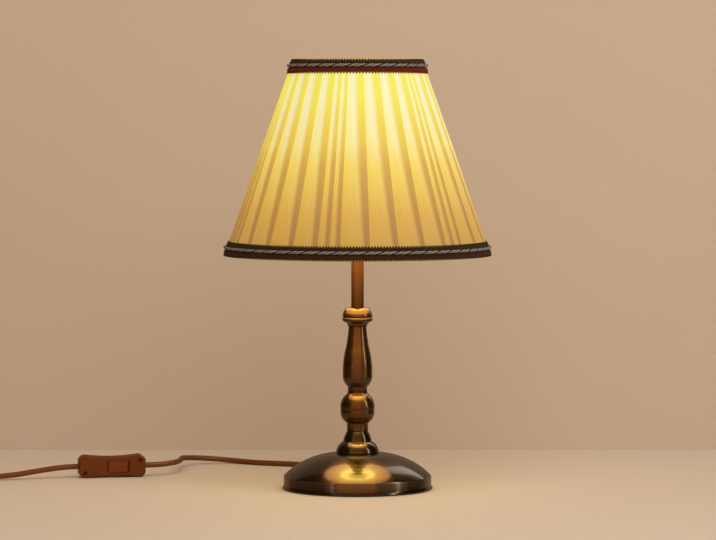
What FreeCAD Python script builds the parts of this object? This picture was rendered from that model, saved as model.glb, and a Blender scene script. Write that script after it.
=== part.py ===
import FreeCAD, Part
import math
import os

from FreeCAD import Vector

# Table lamp with a turned metal stem and a pleated shade.
# Millimetres, +Z up, the origin on the table under the middle of the base.
# +X is to the right and +Y to the back when the lamp is seen from its front.

# Common clearances
overrun = 2.0            # how far a cutting solid runs past the face that it opens
running_fit = 0.05       # radial gap of a shaft in its hole
seat_gap = 0.02          # gap left where a round wire lies against another piece
loose_fit = 0.3          # gap round pieces that are dropped into place
quarter_arc_share = 1 - math.cos(math.radians(45))   # how far the middle of a quarter arc lies inside its corner
chord_degrees = 15.0     # turned curves are cut with flats of about this turn, at least two to a curve
wire_sides, cord_sides = 8, 8    # flats round a bent wire and round the cord

# Base
rim_radius = 74.0        # upright side of the foot plate
rim_top = 13.0           # height where the rim turns into the dome
rim_lift = 0.3           # lower edge of the rim above the table
bead_proud = 1.3         # rolled bead along the lower edge
bead_height = 2.4
rim_edge_round = 0.5
dome_top = 36.0
shell_wall = 1.2
dome_shares = [(0.27, 1.0), (0.41, 0.965, 0.545, 0.87), (0.69, 0.70, 0.816, 0.485)]
dome_foot_share = (0.91, 0.27)   # the last arc passes here on its way to the rim
felt_thickness = 2.0
felt_inset = 1.6         # the felt is this much smaller than the cover
cover_thickness = 1.2
cover_fit = 1.2          # gap between the cover and the inside of the rim

# Cast weight inside the base
weight_space = 14.8      # between the weight and the inside of the rim
weight_cavity_wall = 12.0
weight_cavity_top = 14.0
weight_recess_radius = 17.0
weight_recess_top = 21.0
weight_gap = 0.5         # air between the weight and the underside of the dome
weight_boss_radius = 18.0
cord_slot_width = 10.0
cord_slot_top = 11.0

# Threaded rod, nut and washer that draw the whole stem together
rod_radius = 5.0
rod_bore_radius = 3.6
rod_clearance = 0.1
rod_low = 12.2
washer_radius = 12.0
washer_thickness = 1.6
nut_across_flats = 17.0
nut_height = 6.0

# Turned pieces of the stem, from the dome upwards: widest radius and height
bell_radius, bell_height = 21.5, 22.4
ball_radius, ball_height = 16.65, 39.6
vase_radius, vase_height = 14.8, 65.0
cup_radius, cup_height = 15.2, 9.3
cap_radius, cap_height = 14.9, 9.7
tube_radius, tube_height = 6.3, 84.0
bell_shares = [(0.985, 0), (1.0, 0.055), (0.94, 0.25, 0.735, 0.48), (0.685, 0.51), (0.665, 0.548),
               (0.605, 0.754, 0.485, 0.98), (0.482, 1)]
ball_shares = [(0.63, 0), (0.625, 0.09, 0.64, 0.195), (0.905, 0.315, 1.0, 0.53),
               (0.937, 0.77, 0.64, 0.93), (0.59, 0.95), (0.585, 1)]
vase_shares = [(0.64, 0), (0.655, 0.07), (0.93, 0.155, 1.0, 0.26), (0.965, 0.46, 0.79, 0.67),
               (0.67, 0.84, 0.605, 0.985), (0.6, 1)]
cup_shares = [(0.63, 0), (0.64, 0.07), (0.68, 0.26, 0.77, 0.44), (0.94, 0.55),
              (1.0, 0.76, 0.965, 0.94), (0.94, 1)]
cap_shares = [(0.985, 0), (1.0, 0.07), (0.985, 0.34, 0.93, 0.57), (0.87, 0.75, 0.79, 0.89), (0.68, 0.975), (0.5, 1)]

# Lampholder for a small screw bulb
holder_cap_radius = 13.6
holder_cap_height = 12.0
holder_nipple_radius = 8.4
holder_nipple_height = 3.0
holder_shoulder_shares = (0.9, 1.5)      # of the cap's radius and of the nipple's height
holder_wall = 1.5
holder_floor = 5.5
holder_shell_height = 52.0
holder_thread_radius = 14.1
holder_thread_low = 18.0
holder_thread_height = 26.0
holder_lip_radius = 12.9
flange_radius = 17.0
flange_thickness = 2.5
flange_low = 15.0        # above the joint between cap and shell
insert_foot = 3.0        # lower face of the insert above that joint
insert_height = 22.0
insert_core_height = 16.0
screw_shell_radius = 7.0     # inside
screw_shell_wall = 0.5
screw_shell_height = 29.0
wire_radius = 1.05
wire_offset = 1.4
wire_bend_radius = 5.0
wire_socket_depth = 6.0
terminal_screw_radius = 1.5
terminal_screw_height = 4.0
contact_width = 4.0
contact_thickness = 0.5
contact_reach = 5.0
contact_rise = 7.8

# Bulb
bulb_cap_radius = 6.95
bulb_cap_height = 23.0
bulb_cap_wall = 0.45
bulb_contact_radius = 2.4
bulb_contact_height = 0.8
bulb_insulator_height = 1.4
bulb_glass_radius = 17.5
bulb_glass_height = 77.0
bulb_neck_depth = 8.0
bulb_glass_wall = 0.8
bulb_stem_radius = 3.2
bulb_stem_height = 26.0
bulb_flare_share = 0.75      # widest radius of the glass stem, as a share of the neck's
filament_radius = 0.45
filament_spread = 6.0
filament_height = 18.0
bulb_shares = [(0.43, 0.06), (0.80, 0.22, 1.0, 0.42), (0.86, 0.72, 0.40, 0.93),
               (0.22, 0.985, 0.05, 1), (0, 1)]

# Shade: a cone of pleated cloth over a wire frame
shade_drop = 60.9        # from the top of the holder's flange down to the edge of the cloth
shade_height = 195.9
shade_low_radius = 133.0     # over the fold edges
shade_high_radius = 64.5
cloth_layer = 0.6
panel_count = 6
panel_start_degrees = -7.5
fold_shares = [0.0, 0.21, 0.423, 0.636, 0.826, 0.918]      # fold edges along one panel
underlap_low_share = 0.16        # part of a wide pleat that lies three layers thick, at the bottom
underlap_high_share = 0.62       # and at the top
wide_pleat_share = 0.213
ring_wire_radius = 1.6
rib_wire_radius = 1.3
arm_wire_radius = 1.5
bottom_ring_rise = 3.4   # wire above the lower edge of the cloth
top_ring_drop = 3.5      # wire below its upper edge
frame_gap = 0.1
arm_count = 3
arm_foot_length = 8.0
fitting_ring_radius = 14.6       # hole that passes over the holder's thread
fitting_ring_outer = 23.0
fitting_ring_thickness = 1.5
ring_nut_outer = 20.0
ring_nut_flange = 1.6
ring_nut_hub_radius = 16.6
ring_nut_height = 6.5
ring_nut_notches = 12
ring_nut_notch_radius = 1.4
ring_nut_fit = 0.1

# Trim: a flat braided band with a round cord along its middle
trim_thickness = 1.2
trim_gap = 0.05
trim_width = 13.0
bottom_trim_overhang = 0.6   # the trim reaches below the cloth
cloth_edge_show = 1.5        # the cloth reaches above the trim
trim_cord_radius = 2.0

# Mains cord and what it passes through at the base
cord_radius = 2.8
cord_height = 6.9            # axis of the cord where it leaves the rim
cord_tail = 2.0              # cord past the clamp
bush_flange_radius = 5.4
bush_flange_thickness = 1.6
bush_neck_radius = 4.3
bush_barb_radius = 4.9       # flange inside the rim
bush_boot_length = 21.0
bush_boot_tip_radius = 3.6
clamp_width, clamp_length = 19.0, 12.0
clamp_low = 3.8
clamp_inset = 18.0           # from the wall of the weight's cavity to the near face of the clamp
clamp_screw_offset = 6.4
clamp_screw_radius = 1.5
clamp_screw_head_radius = 2.5
clamp_screw_head_height = 1.8
clamp_screw_length = 18.0

# In-line switch, standing on its long edge with the rocker to the front
switch_length, switch_width, switch_thickness = 69.0, 23.2, 17.0
switch_waist = 1.7               # how far each long side draws in at its middle
switch_end_flat = 7.6            # straight part of each end
switch_shoulder_share = 0.38     # where the rounded corner starts, as a share of the length
switch_round = 2.2
switch_place = (-254.0, 103.0)
switch_turn_degrees = 12.0
rocker_offset = 6.0
rocker_swing_radius = 11.2
rocker_width = 10.6
rocker_pivot_depth = 4.3
rocker_back = 0.8                # underside of the rocker behind its pivot
rocker_crest, rocker_ends = 0.7, 1.8     # how far it stands proud, middle and ends
rocker_tilt_degrees = 7.0
rocker_axle_radius, rocker_axle_length = 1.2, 1.2
rocker_pocket_depth = 7.4
rocker_side_gap = 0.2
switch_screw_offset = (28.6, 6.4)        # from the middle of the front face
switch_screw_head_radius, switch_screw_head_height = 2.3, 1.2
switch_screw_recess = 1.6
switch_screw_radius, switch_screw_length = 1.2, 11.0
switch_corner_shares = (0.75, 0.22)      # middle of each corner arc, from the shoulder and from the long side
switch_cord_run = 13.5                   # straight run of the cord out of each end

# Plug, lying flat
plug_width, plug_length, plug_thickness = 35.3, 37.0, 13.7
plug_round = 2.0
plug_shares = [(0.5, 0.0), (0.5, 0.36), (0.42, 0.66, 0.3, 0.9), (0.27, 1.0)]
plug_relief_length, plug_relief_radius, plug_relief_tip = 26.0, 5.4, 3.7
pin_radius, pin_length, pin_spacing = 2.0, 19.0, 18.6

# Routes of the cord, chosen by hand along its axis
bend_reach_share = 0.45      # part of the shorter run that an arc takes
sample_step = 2.0            # between the points on which the coil's gap is measured
route_to_switch = [(0, 97.5, 6.9), (0, 113, 6.9), (-4, 137, 4.2), (-14, 160, 2.8), (-31, 180, 2.8),
                   (-54, 195, 2.8), (-80, 203.5, 2.8), (-106, 213.5, 2.8), (-129, 229, 3.0),
                   (-149, 232.5, 4.6), (-167.7, 225.5, 6.6), (-181, 210.3, 8.5), (-186.8, 189, 10.2),
                   (-185.3, 160, 11.6), (-187.9, 134, 12.3), (-195.6, 121.1, 12.1)]
route_to_coil = [(-326, 86, 8.6), (-352, 76.5, 4.8), (-378, 69.4, 3.4)]
coil_centre = (-430.0, 105.0)
coil_outer_radius = 38.0         # axis of the outermost turn
coil_pitch = 6.2                 # from one turn to the next, beside and above
coil_lift = 0.6                  # the tie lies under the coil
coil_turns_in = 2.75
coil_turns_out = 3.0
coil_climb = 0.5                 # turns in which the cord climbs to the upper layer
tie_thickness, tie_width, tie_gap = 0.5, 7.0, 0.6
tie_degrees = 45.0
plug_lead_length = 46.0
plug_lead_shares = [0.25, 0.52, 0.78]    # where the lead's points lie along it

os.makedirs("parts", exist_ok=True)
up = Vector(0, 0, 1)
back = Vector(0, 1, 0)


def save(name, *solids):
    """Write one sub-part; several solids become a group in one file."""
    shape = solids[0] if len(solids) == 1 else Part.makeCompound(list(solids))
    shape.exportStep("parts/" + name + ".step")
    valid = all(piece.isValid() for piece in shape.Solids)
    print(name, len(shape.Solids), "solids", round(shape.Volume), "mm3", "" if valid else "NOT VALID")


def cylinder(radius, low, high):
    return Part.makeCylinder(radius, high - low, Vector(0, 0, low))


def collar(inner, outer, low, high):
    """A round piece with a round hole."""
    return cylinder(outer, low, high).cut(cylinder(inner, low - overrun, high + overrun))


def outline(steps, chords=False):
    """Edges through (r, z) points; four numbers are an arc through one point to the next."""
    edges = []
    here = Vector(steps[0][0], 0, steps[0][1])
    for step in steps[1:]:
        there = Vector(step[-2], 0, step[-1])
        arc = Part.Arc(here, Vector(step[0], 0, step[1]), there) if len(step) == 4 else None
        if arc is None:
            edges.append(Part.LineSegment(here, there).toShape())
        elif chords:
            turn = math.degrees(arc.LastParameter - arc.FirstParameter)
            places = arc.discretize(Number=max(2, math.ceil(turn / chord_degrees)) + 1)
            edges += [Part.LineSegment(p, q).toShape() for p, q in zip(places, places[1:])]
        else:
            edges.append(arc.toShape())
        here = there
    return edges


def spun(edges):
    """Solid of revolution about the lamp's axis."""
    face = Part.Face(Part.Wire(Part.__sortEdges__(edges)))
    return face.revolve(Vector(0, 0, 0), up, 360)


def spun_closed(edges):
    """Solid of revolution from an outline that starts and ends on the axis."""
    skin = Part.Wire(edges).revolve(Vector(0, 0, 0), up, 360)
    solid = Part.Solid(Part.Shell(skin.Faces))
    if solid.Volume < 0:
        solid.reverse()
    return solid


def fitted(shares, radius, low, height):
    """Scale a list of shares to a piece's radius and height."""
    scales = (radius, height)
    steps = []
    for step in shares:
        steps.append(tuple(share * scales[i % 2] + (low if i % 2 else 0) for i, share in enumerate(step)))
    return steps


def turned(shares, radius, low, height, bore):
    """A turned stem piece with a through hole."""
    steps = fitted(shares, radius, low, height)
    return spun(outline([(bore, low)] + steps + [(bore, low + height), (bore, low)], chords=True))


def many_sided(centre, way, radius, sides):
    """Outline of a bent wire or cord across its way, with a flat below."""
    side = way.cross(up).normalize()
    rise = side.cross(way).normalize()
    corners = []
    for i in range(sides):
        angle = 2 * math.pi * (i + 0.5) / sides
        corners.append(centre + side * (radius * math.cos(angle)) + rise * (radius * math.sin(angle)))
    return Part.makePolygon(corners + corners[:1])


def ring(centre_radius, height, wire, lean=0):
    """A closed ring of wire about the lamp's axis; the lean turns its flats."""
    section = many_sided(Vector(centre_radius, 0, height), back, wire, wire_sides)
    section.rotate(Vector(centre_radius, 0, height), back, lean)
    return Part.Face(section).revolve(Vector(0, 0, 0), up, 360)


def bar(start, end, radius):
    """A straight round bar between two points."""
    run = end - start
    return Part.makeCylinder(radius, run.Length, start, run)


def turned_about(shape, degrees, centre=Vector(0, 0, 0)):
    """A copy turned about a vertical line."""
    copy = shape.copy()
    copy.rotate(centre, up, degrees)
    return copy


# Base shell
dome_rise = dome_top - rim_top


def dome_points(gap):
    """Corners of the dome's outline, moved inwards by a gap square to its flats."""
    steps = [tuple(v * (dome_rise if i % 2 else rim_radius) + (rim_top if i % 2 else 0) for i, v in enumerate(step))
             for step in dome_shares + [dome_foot_share]]
    steps[-1] += (rim_radius - rim_edge_round, rim_top + rim_edge_round)
    edges = outline(steps, chords=True)
    outer = [edge.valueAt(edge.FirstParameter) for edge in edges] + [edges[-1].valueAt(edges[-1].LastParameter)]
    ways = [(q - p).normalize() for p, q in zip(outer, outer[1:])]
    moved = []
    for point, before, after in zip(outer, ways[:1] + ways, ways + ways[-1:]):
        inwards = Vector(before.z + after.z, 0, -before.x - after.x)
        moved.append(point + inwards * (gap * 2 / inwards.dot(inwards)))
    return moved


def dome_edges(points):
    return outline([(p.x, p.z) for p in points])


stem_bore = rod_radius + rod_clearance
outer_dome = dome_points(0)
inner_dome = dome_points(shell_wall)
inner_top = dome_top - shell_wall
inner_rim = rim_radius - shell_wall
outer_edge, inner_edge = outer_dome[-1], inner_dome[-1]
bead_radius = rim_radius + bead_proud
shell_edges = dome_edges(outer_dome) + dome_edges(inner_dome)
shell_edges += outline([(stem_bore, dome_top), (outer_dome[0].x, outer_dome[0].z)])
shell_edges += outline([(outer_edge.x, outer_edge.z),
                        (rim_radius - rim_edge_round * quarter_arc_share, rim_top,
                         rim_radius, rim_top - rim_edge_round),
                        (rim_radius, rim_lift + bead_height),
                        (bead_radius, rim_lift + bead_height / 2),
                        (bead_radius, rim_lift),
                        (inner_rim, rim_lift),
                        (inner_rim, inner_edge.z - rim_edge_round),
                        (inner_edge.x, inner_edge.z)])
shell_edges += outline([(inner_dome[0].x, inner_dome[0].z), (stem_bore, inner_top), (stem_bore, dome_top)])
bush_hole = Part.makeCylinder(bush_neck_radius + running_fit, shell_wall + bead_height + overrun,
                              Vector(0, inner_rim - overrun, cord_height), back)
bush_face = rim_radius + seat_gap
bead_notch = Part.makeCylinder(bush_flange_radius + running_fit, bush_boot_length,
                               Vector(0, rim_radius, cord_height), back)
save("base_shell", spun(shell_edges).cut(bush_hole).cut(bead_notch))

# Cast weight: follows the dome, hollow below for the nut and the cord clamp
cover_low = felt_thickness
cover_top = felt_thickness + cover_thickness
weight_radius = inner_rim - weight_space
weight_cavity_radius = weight_radius - weight_cavity_wall
weight_dome = [p for p in dome_points(shell_wall + weight_gap) if p.x < weight_radius]
weight_corner = weight_dome[-1]
weight_edges = dome_edges(weight_dome)
weight_edges += outline([(stem_bore, cover_top), (weight_radius, cover_top),
                         (weight_radius, weight_corner.z - (weight_radius - weight_corner.x)),
                         (weight_corner.x, weight_corner.z)])
weight_edges += outline([(weight_dome[0].x, weight_dome[0].z), (weight_boss_radius, weight_dome[0].z),
                         (weight_boss_radius, inner_top), (stem_bore, inner_top), (stem_bore, cover_top)])
clamp_start = weight_cavity_radius - clamp_inset
cord_inner_end = clamp_start - cord_tail
clamp_middle = clamp_start + clamp_length / 2
screw_holes = [cylinder(clamp_screw_radius + running_fit, weight_cavity_top - overrun,
                        clamp_low + clamp_screw_length + loose_fit) for _ in range(2)]
for hole, side in zip(screw_holes, (-1, 1)):
    hole.translate(Vector(side * clamp_screw_offset, clamp_middle, 0))
cord_slot = Part.makeBox(cord_slot_width, weight_radius, cord_slot_top - cover_top + overrun,
                         Vector(-cord_slot_width / 2, 0, cover_top - overrun))
weight = spun(weight_edges)
weight = weight.cut(cylinder(weight_cavity_radius, cover_top - overrun, weight_cavity_top))
weight = weight.cut(cylinder(weight_recess_radius, cover_top - overrun, weight_recess_top))
weight = weight.cut(cord_slot).cut(Part.makeCompound(screw_holes))
save("base_weight", weight)

# Bottom cover with its notch for the cord bush, and the felt that the lamp stands on
cover_radius = inner_rim - cover_fit
felt_radius = cover_radius - felt_inset
bush_notch = Part.makeCylinder(bush_barb_radius + loose_fit, inner_rim - weight_radius,
                               Vector(0, inner_rim - bush_flange_thickness - loose_fit, cord_height), back)
save("base_cover", cylinder(cover_radius, cover_low, cover_top).cut(bush_notch))
save("felt_pad", cylinder(felt_radius, 0, felt_thickness))

# Cord bush: flange on both sides of the rim and a tapered boot
boot_end = bush_face + bush_boot_length
cord_hole = cord_radius + running_fit
bush = Part.makeCylinder(bush_neck_radius, bush_face - inner_rim + overrun,
                         Vector(0, inner_rim - overrun / 2, cord_height), back)
bush = bush.fuse(Part.makeCylinder(bush_flange_radius, bush_flange_thickness,
                                   Vector(0, bush_face, cord_height), back))
bush = bush.fuse(Part.makeCylinder(bush_barb_radius, bush_flange_thickness,
                                   Vector(0, inner_rim - bush_flange_thickness - loose_fit, cord_height), back))
bush = bush.fuse(Part.makeCone(bush_neck_radius, bush_boot_tip_radius, bush_boot_length,
                               Vector(0, bush_face, cord_height), back))
bush = bush.cut(Part.makeCylinder(cord_hole, boot_end, Vector(0, weight_radius, cord_height), back))
save("cord_bush", bush.removeSplitter())

# Cord clamp under the weight, with its two screws
clamp_block = Part.makeBox(clamp_width, clamp_length, weight_cavity_top - clamp_low,
                           Vector(-clamp_width / 2, clamp_start, clamp_low))
clamp_block = clamp_block.cut(Part.makeCylinder(cord_hole, clamp_length + overrun * 2,
                                                Vector(0, clamp_start - overrun, cord_height), back))
clamp_screws = []
for side in (-1, 1):
    place = Vector(side * clamp_screw_offset, clamp_middle, 0)
    head_top = clamp_low + clamp_screw_head_height
    head = cylinder(clamp_screw_head_radius, clamp_low, head_top)
    shank = cylinder(clamp_screw_radius, clamp_low, clamp_low + clamp_screw_length)
    screw = head.fuse(shank).removeSplitter()
    screw.translate(place)
    clamp_screws.append(screw)
    recess = cylinder(clamp_screw_head_radius + running_fit, clamp_low - overrun, head_top)
    hole = cylinder(clamp_screw_radius + running_fit, clamp_low, weight_cavity_top + overrun)
    for cutter in (recess, hole):
        cutter.translate(place)
        clamp_block = clamp_block.cut(cutter)
save("cord_clamp", clamp_block)
save("cord_clamp_screws", *clamp_screws)

# Stem pieces stacked on the rod
ball_low = dome_top + bell_height
vase_low = ball_low + ball_height
cup_low = vase_low + vase_height
cap_low = cup_low + cup_height
tube_low = cap_low + cap_height
holder_low = tube_low + tube_height
save("foot_bell", turned(bell_shares, bell_radius, dome_top, bell_height, stem_bore))
save("ball_spindle", turned(ball_shares, ball_radius, ball_low, ball_height, stem_bore))
save("vase_column", turned(vase_shares, vase_radius, vase_low, vase_height, stem_bore))
save("collar_cup", turned(cup_shares, cup_radius, cup_low, cup_height, stem_bore))
save("collar_cap", turned(cap_shares, cap_radius, cap_low, cap_height, stem_bore))
save("upper_tube", collar(stem_bore, tube_radius, tube_low, holder_low))

# Rod with washer and nut
holder_joint = holder_low + holder_cap_height
rod_high = holder_joint - overrun
save("threaded_rod", collar(rod_bore_radius, rod_radius, rod_low, rod_high))
washer_low = weight_recess_top - washer_thickness
save("rod_washer", collar(stem_bore, washer_radius, washer_low, weight_recess_top))
nut_low = washer_low - nut_height
nut_corner = nut_across_flats / 2 / math.cos(math.radians(30))
nut_points = []
for i in range(7):
    angle = math.radians(60 * i)
    nut_points.append(Vector(nut_corner * math.cos(angle), nut_corner * math.sin(angle), nut_low))
nut = Part.Face(Part.makePolygon(nut_points)).extrude(up * nut_height)
save("rod_nut", nut.cut(cylinder(rod_radius + running_fit, nut_low - overrun, washer_low + overrun)))

# Lampholder: cap on the rod, shell with flange and thread, insert and contacts
cap_inner = holder_cap_radius - holder_wall
cap_steps = [(rod_radius + running_fit, holder_low), (holder_nipple_radius, holder_low),
             (holder_nipple_radius, holder_low + holder_nipple_height),
             (holder_cap_radius * holder_shoulder_shares[0],
              holder_low + holder_nipple_height * holder_shoulder_shares[1],
              holder_cap_radius, holder_low + holder_floor + holder_nipple_height),
             (holder_cap_radius, holder_joint), (cap_inner, holder_joint),
             (cap_inner, holder_low + holder_floor + holder_nipple_height),
             (rod_radius + running_fit, holder_low + holder_floor),
             (rod_radius + running_fit, holder_low)]
save("holder_cap", spun(outline(cap_steps, chords=True)))
flange_top = holder_joint + flange_low + flange_thickness
thread_low = holder_joint + holder_thread_low
thread_high = thread_low + holder_thread_height
shell_high = holder_joint + holder_shell_height
shell_steps = [(cap_inner, holder_joint), (holder_cap_radius, holder_joint),
               (holder_cap_radius, flange_top - flange_thickness), (flange_radius, flange_top - flange_thickness),
               (flange_radius, flange_top), (holder_cap_radius, flange_top), (holder_cap_radius, thread_low),
               (holder_thread_radius, thread_low), (holder_thread_radius, thread_high),
               (holder_lip_radius, thread_high), (holder_lip_radius, shell_high), (cap_inner, shell_high),
               (cap_inner, holder_joint)]
save("holder_shell", spun(outline(shell_steps)))
insert_low = holder_joint + insert_foot
insert_core = insert_low + insert_core_height
insert_radius = cap_inner - running_fit
shell_seat = screw_shell_radius + screw_shell_wall
insert = cylinder(insert_radius, insert_low, insert_low + insert_height)
insert = insert.cut(cylinder(shell_seat + running_fit, insert_core, insert_low + insert_height + overrun))
terminal_height = insert_low + terminal_screw_height
wires, terminal_screws = [], []
for side in (-1, 1):
    insert = insert.cut(Part.makeCylinder(wire_radius + running_fit, wire_socket_depth + overrun,
                                          Vector(side * wire_offset, 0, insert_low - overrun)))
    screw_start = Vector(side * (wire_offset + wire_radius + running_fit), 0, terminal_height)
    screw_end = Vector(side * (insert_radius - running_fit), 0, terminal_height)
    in_socket = Vector(side * (wire_offset + wire_radius / 2), 0, terminal_height)
    past_face = Vector(side * (insert_radius + overrun), 0, terminal_height)
    insert = insert.cut(bar(in_socket, past_face, terminal_screw_radius + running_fit))
    terminal_screws.append(bar(screw_start, screw_end, terminal_screw_radius))
    low_start = Vector(side * wire_offset, cord_inner_end, cord_height)
    low_end = Vector(side * wire_offset, wire_bend_radius, cord_height)
    bend_top = Vector(side * wire_offset, 0, cord_height + wire_bend_radius)
    inset = wire_bend_radius * quarter_arc_share
    bend_middle = Vector(side * wire_offset, inset, cord_height + inset)
    high_end = Vector(side * wire_offset, 0, insert_low + wire_socket_depth)
    wire_path = Part.Wire([Part.LineSegment(low_start, low_end).toShape(),
                           Part.Arc(low_end, bend_middle, bend_top).toShape(),
                           Part.LineSegment(bend_top, high_end).toShape()])
    section = Part.Wire([Part.Circle(low_start, back, wire_radius).toShape()])
    wires.append(wire_path.makePipeShell([section], True, False))
save("holder_insert", insert)
save("terminal_screws", *terminal_screws)
save("supply_wires", *wires)
save("holder_screw_shell", collar(screw_shell_radius, shell_seat, insert_core, insert_core + screw_shell_height))

# Sprung contact: a strip bent back over itself
strip_points = [(-contact_reach, 0), (contact_reach, 0), (contact_reach, contact_thickness),
                (contact_thickness - contact_reach, contact_thickness),
                (-contact_thickness, contact_rise - contact_thickness), (contact_reach / 2, contact_rise - contact_thickness),
                (contact_reach / 2, contact_rise), (-contact_thickness * 2, contact_rise)]
strip = [Vector(x, -contact_width / 2, insert_core + z) for x, z in strip_points]
strip_face = Part.Face(Part.makePolygon(strip + [strip[0]]))
save("holder_centre_contact", strip_face.extrude(back * contact_width))

# Bulb
contact_low = insert_core + contact_rise
insulator_low = contact_low + bulb_contact_height
cap_foot = insulator_low + bulb_insulator_height
cap_head = cap_foot + bulb_cap_height
bulb_contact = cylinder(bulb_contact_radius, contact_low, insulator_low)
insulator = Part.makeCone(bulb_contact_radius, bulb_cap_radius - bulb_cap_wall, bulb_insulator_height,
                          Vector(0, 0, insulator_low))
save("bulb_contact", bulb_contact.fuse(insulator).removeSplitter())
save("bulb_cap", collar(bulb_cap_radius - bulb_cap_wall, bulb_cap_radius, cap_foot, cap_head))
glass_neck = bulb_cap_radius - bulb_cap_wall - running_fit


def bulb_outline(wall):
    """Half outline of the glass from the foot of its neck to its tip, moved inwards by the wall."""
    low = cap_head - bulb_neck_depth + wall
    steps = fitted(bulb_shares, bulb_glass_radius - wall, cap_head, bulb_glass_height - wall)
    return outline([(0, low), (glass_neck - wall, low), (glass_neck - wall, cap_head)] + steps, chords=True)


save("bulb_glass", spun_closed(bulb_outline(0)).cut(spun_closed(bulb_outline(bulb_glass_wall))))
stem_low = cap_head - bulb_neck_depth + bulb_glass_wall
stem_high = stem_low + bulb_stem_height
stem_steps = [(0, stem_low), (glass_neck * bulb_flare_share, stem_low), (bulb_stem_radius, stem_low + bulb_stem_height / 3),
              (bulb_stem_radius, stem_high), (0, stem_high)]
save("bulb_stem", spun_closed(outline(stem_steps)))
filament_foot = stem_high - bulb_stem_radius
left_foot = Vector(-bulb_stem_radius - filament_radius - seat_gap, 0, filament_foot)
left_top = Vector(-filament_spread, 0, filament_foot + filament_height)
arch = Vector(0, 0, filament_foot + filament_height + filament_spread)
right_top = Vector(filament_spread, 0, filament_foot + filament_height)
right_foot = Vector(bulb_stem_radius + filament_radius + seat_gap, 0, filament_foot)
legs = [bar(left_foot, left_top, filament_radius), bar(right_foot, right_top, filament_radius)]
joints = [Part.makeSphere(filament_radius, left_top), Part.makeSphere(filament_radius, right_top)]
loop_path = Part.Arc(left_top, arch, right_top)
loop_section = Part.Wire([Part.Circle(left_top, loop_path.tangent(loop_path.FirstParameter)[0],
                                      filament_radius).toShape()])
loop = Part.Wire([loop_path.toShape()]).makePipeShell([loop_section], True, False)
filament = loop.multiFuse(legs + joints)
save("bulb_filament", filament)

# Shade cover: every pleat rises over the two layers tucked under the next fold edge
shade_low = flange_top - shade_drop
shade_high = shade_low + shade_height
bottom_ring_height, top_ring_height = shade_low + bottom_ring_rise, shade_high - top_ring_drop
bottom_trim_low = shade_low - bottom_trim_overhang
bottom_trim_high = bottom_trim_low + trim_width
top_trim_high = shade_high - cloth_edge_show
top_trim_low = top_trim_high - trim_width
panel_degrees = 360 / panel_count
wide_pleat = wide_pleat_share * panel_degrees
fold_degrees = []
for panel in range(panel_count):
    for share in fold_shares:
        fold_degrees.append(panel_start_degrees + (panel + share) * panel_degrees)
fold_degrees.append(fold_degrees[0] + 360)


def on_shade(radius, degrees, height):
    """A point at an angle counted from the front towards +X."""
    angle = math.radians(degrees)
    return Vector(radius * math.sin(angle), -radius * math.cos(angle), height)


def cloth_radius(height):
    """Radius over the fold edges at a height."""
    share = (height - shade_low) / shade_height
    return shade_low_radius + share * (shade_high_radius - shade_low_radius)


def shade_ring(height, underlap_share):
    """Corners of the outer and the inner outline of the pleated cloth at one height."""
    fold = cloth_radius(height)
    outer, inner = [], []
    for start, end in zip(fold_degrees, fold_degrees[1:]):
        tuck = min(underlap_share * wide_pleat, underlap_high_share * (end - start))
        tuck_start = end - tuck
        rise = (tuck_start - start) / (end - start) * 2 * cloth_layer
        outer.append(on_shade(fold - 2 * cloth_layer, start, height))
        outer.append(on_shade(fold, end, height))
        inner.append(on_shade(fold - 3 * cloth_layer, start, height))
        inner.append(on_shade(fold - 3 * cloth_layer + rise, tuck_start, height))
        inner.append(on_shade(fold - 3 * cloth_layer, tuck_start, height))
    return outer, inner


def flat_sided(low_points, high_points):
    """A solid between two outlines with as many corners, whose sides are flat triangles."""
    faces = [Part.Face(Part.makePolygon(points + points[:1])) for points in (low_points, high_points)]
    following = zip(low_points, low_points[1:] + low_points[:1], high_points[1:] + high_points[:1], high_points)
    for low, low_next, high_next, high in following:
        faces.append(Part.Face(Part.makePolygon([low, low_next, high_next, low])))
        faces.append(Part.Face(Part.makePolygon([low, high_next, high, low])))
    shell = Part.Shell(faces)
    shell.sewShape()
    solid = Part.Solid(shell)
    if solid.Volume < 0:
        solid.reverse()
    return solid


low_outer, low_inner = shade_ring(shade_low, underlap_low_share)
high_outer, high_inner = shade_ring(shade_high, underlap_high_share)
cover = flat_sided(low_outer, high_outer).cut(flat_sided(low_inner, high_inner))
save("shade_cover", cover)

# Wire frame inside the cloth
widest_step = max(end - start for start, end in zip(fold_degrees, fold_degrees[1:]))
chord_share = math.cos(math.radians(widest_step / 2))


def frame_limit(height):
    """Largest radius that clears the inside of the cloth."""
    return (cloth_radius(height) - 3 * cloth_layer) * chord_share - frame_gap


def wire_ring(height, wire, grow=0):
    return ring(frame_limit(height) - wire, height, wire + grow)


save("shade_bottom_ring", wire_ring(bottom_ring_height, ring_wire_radius))
save("shade_top_ring", wire_ring(top_ring_height, ring_wire_radius))
ring_space = Part.makeCompound([wire_ring(bottom_ring_height, ring_wire_radius, seat_gap),
                                wire_ring(top_ring_height, ring_wire_radius, seat_gap)])
rib_low = on_shade(frame_limit(bottom_ring_height) - ring_wire_radius, panel_start_degrees, bottom_ring_height)
rib_high = on_shade(frame_limit(top_ring_height) - ring_wire_radius, panel_start_degrees, top_ring_height)
rib = bar(rib_low, rib_high, rib_wire_radius).cut(ring_space)
save("shade_ribs", *[turned_about(rib, panel_degrees * i) for i in range(panel_count)])

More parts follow.
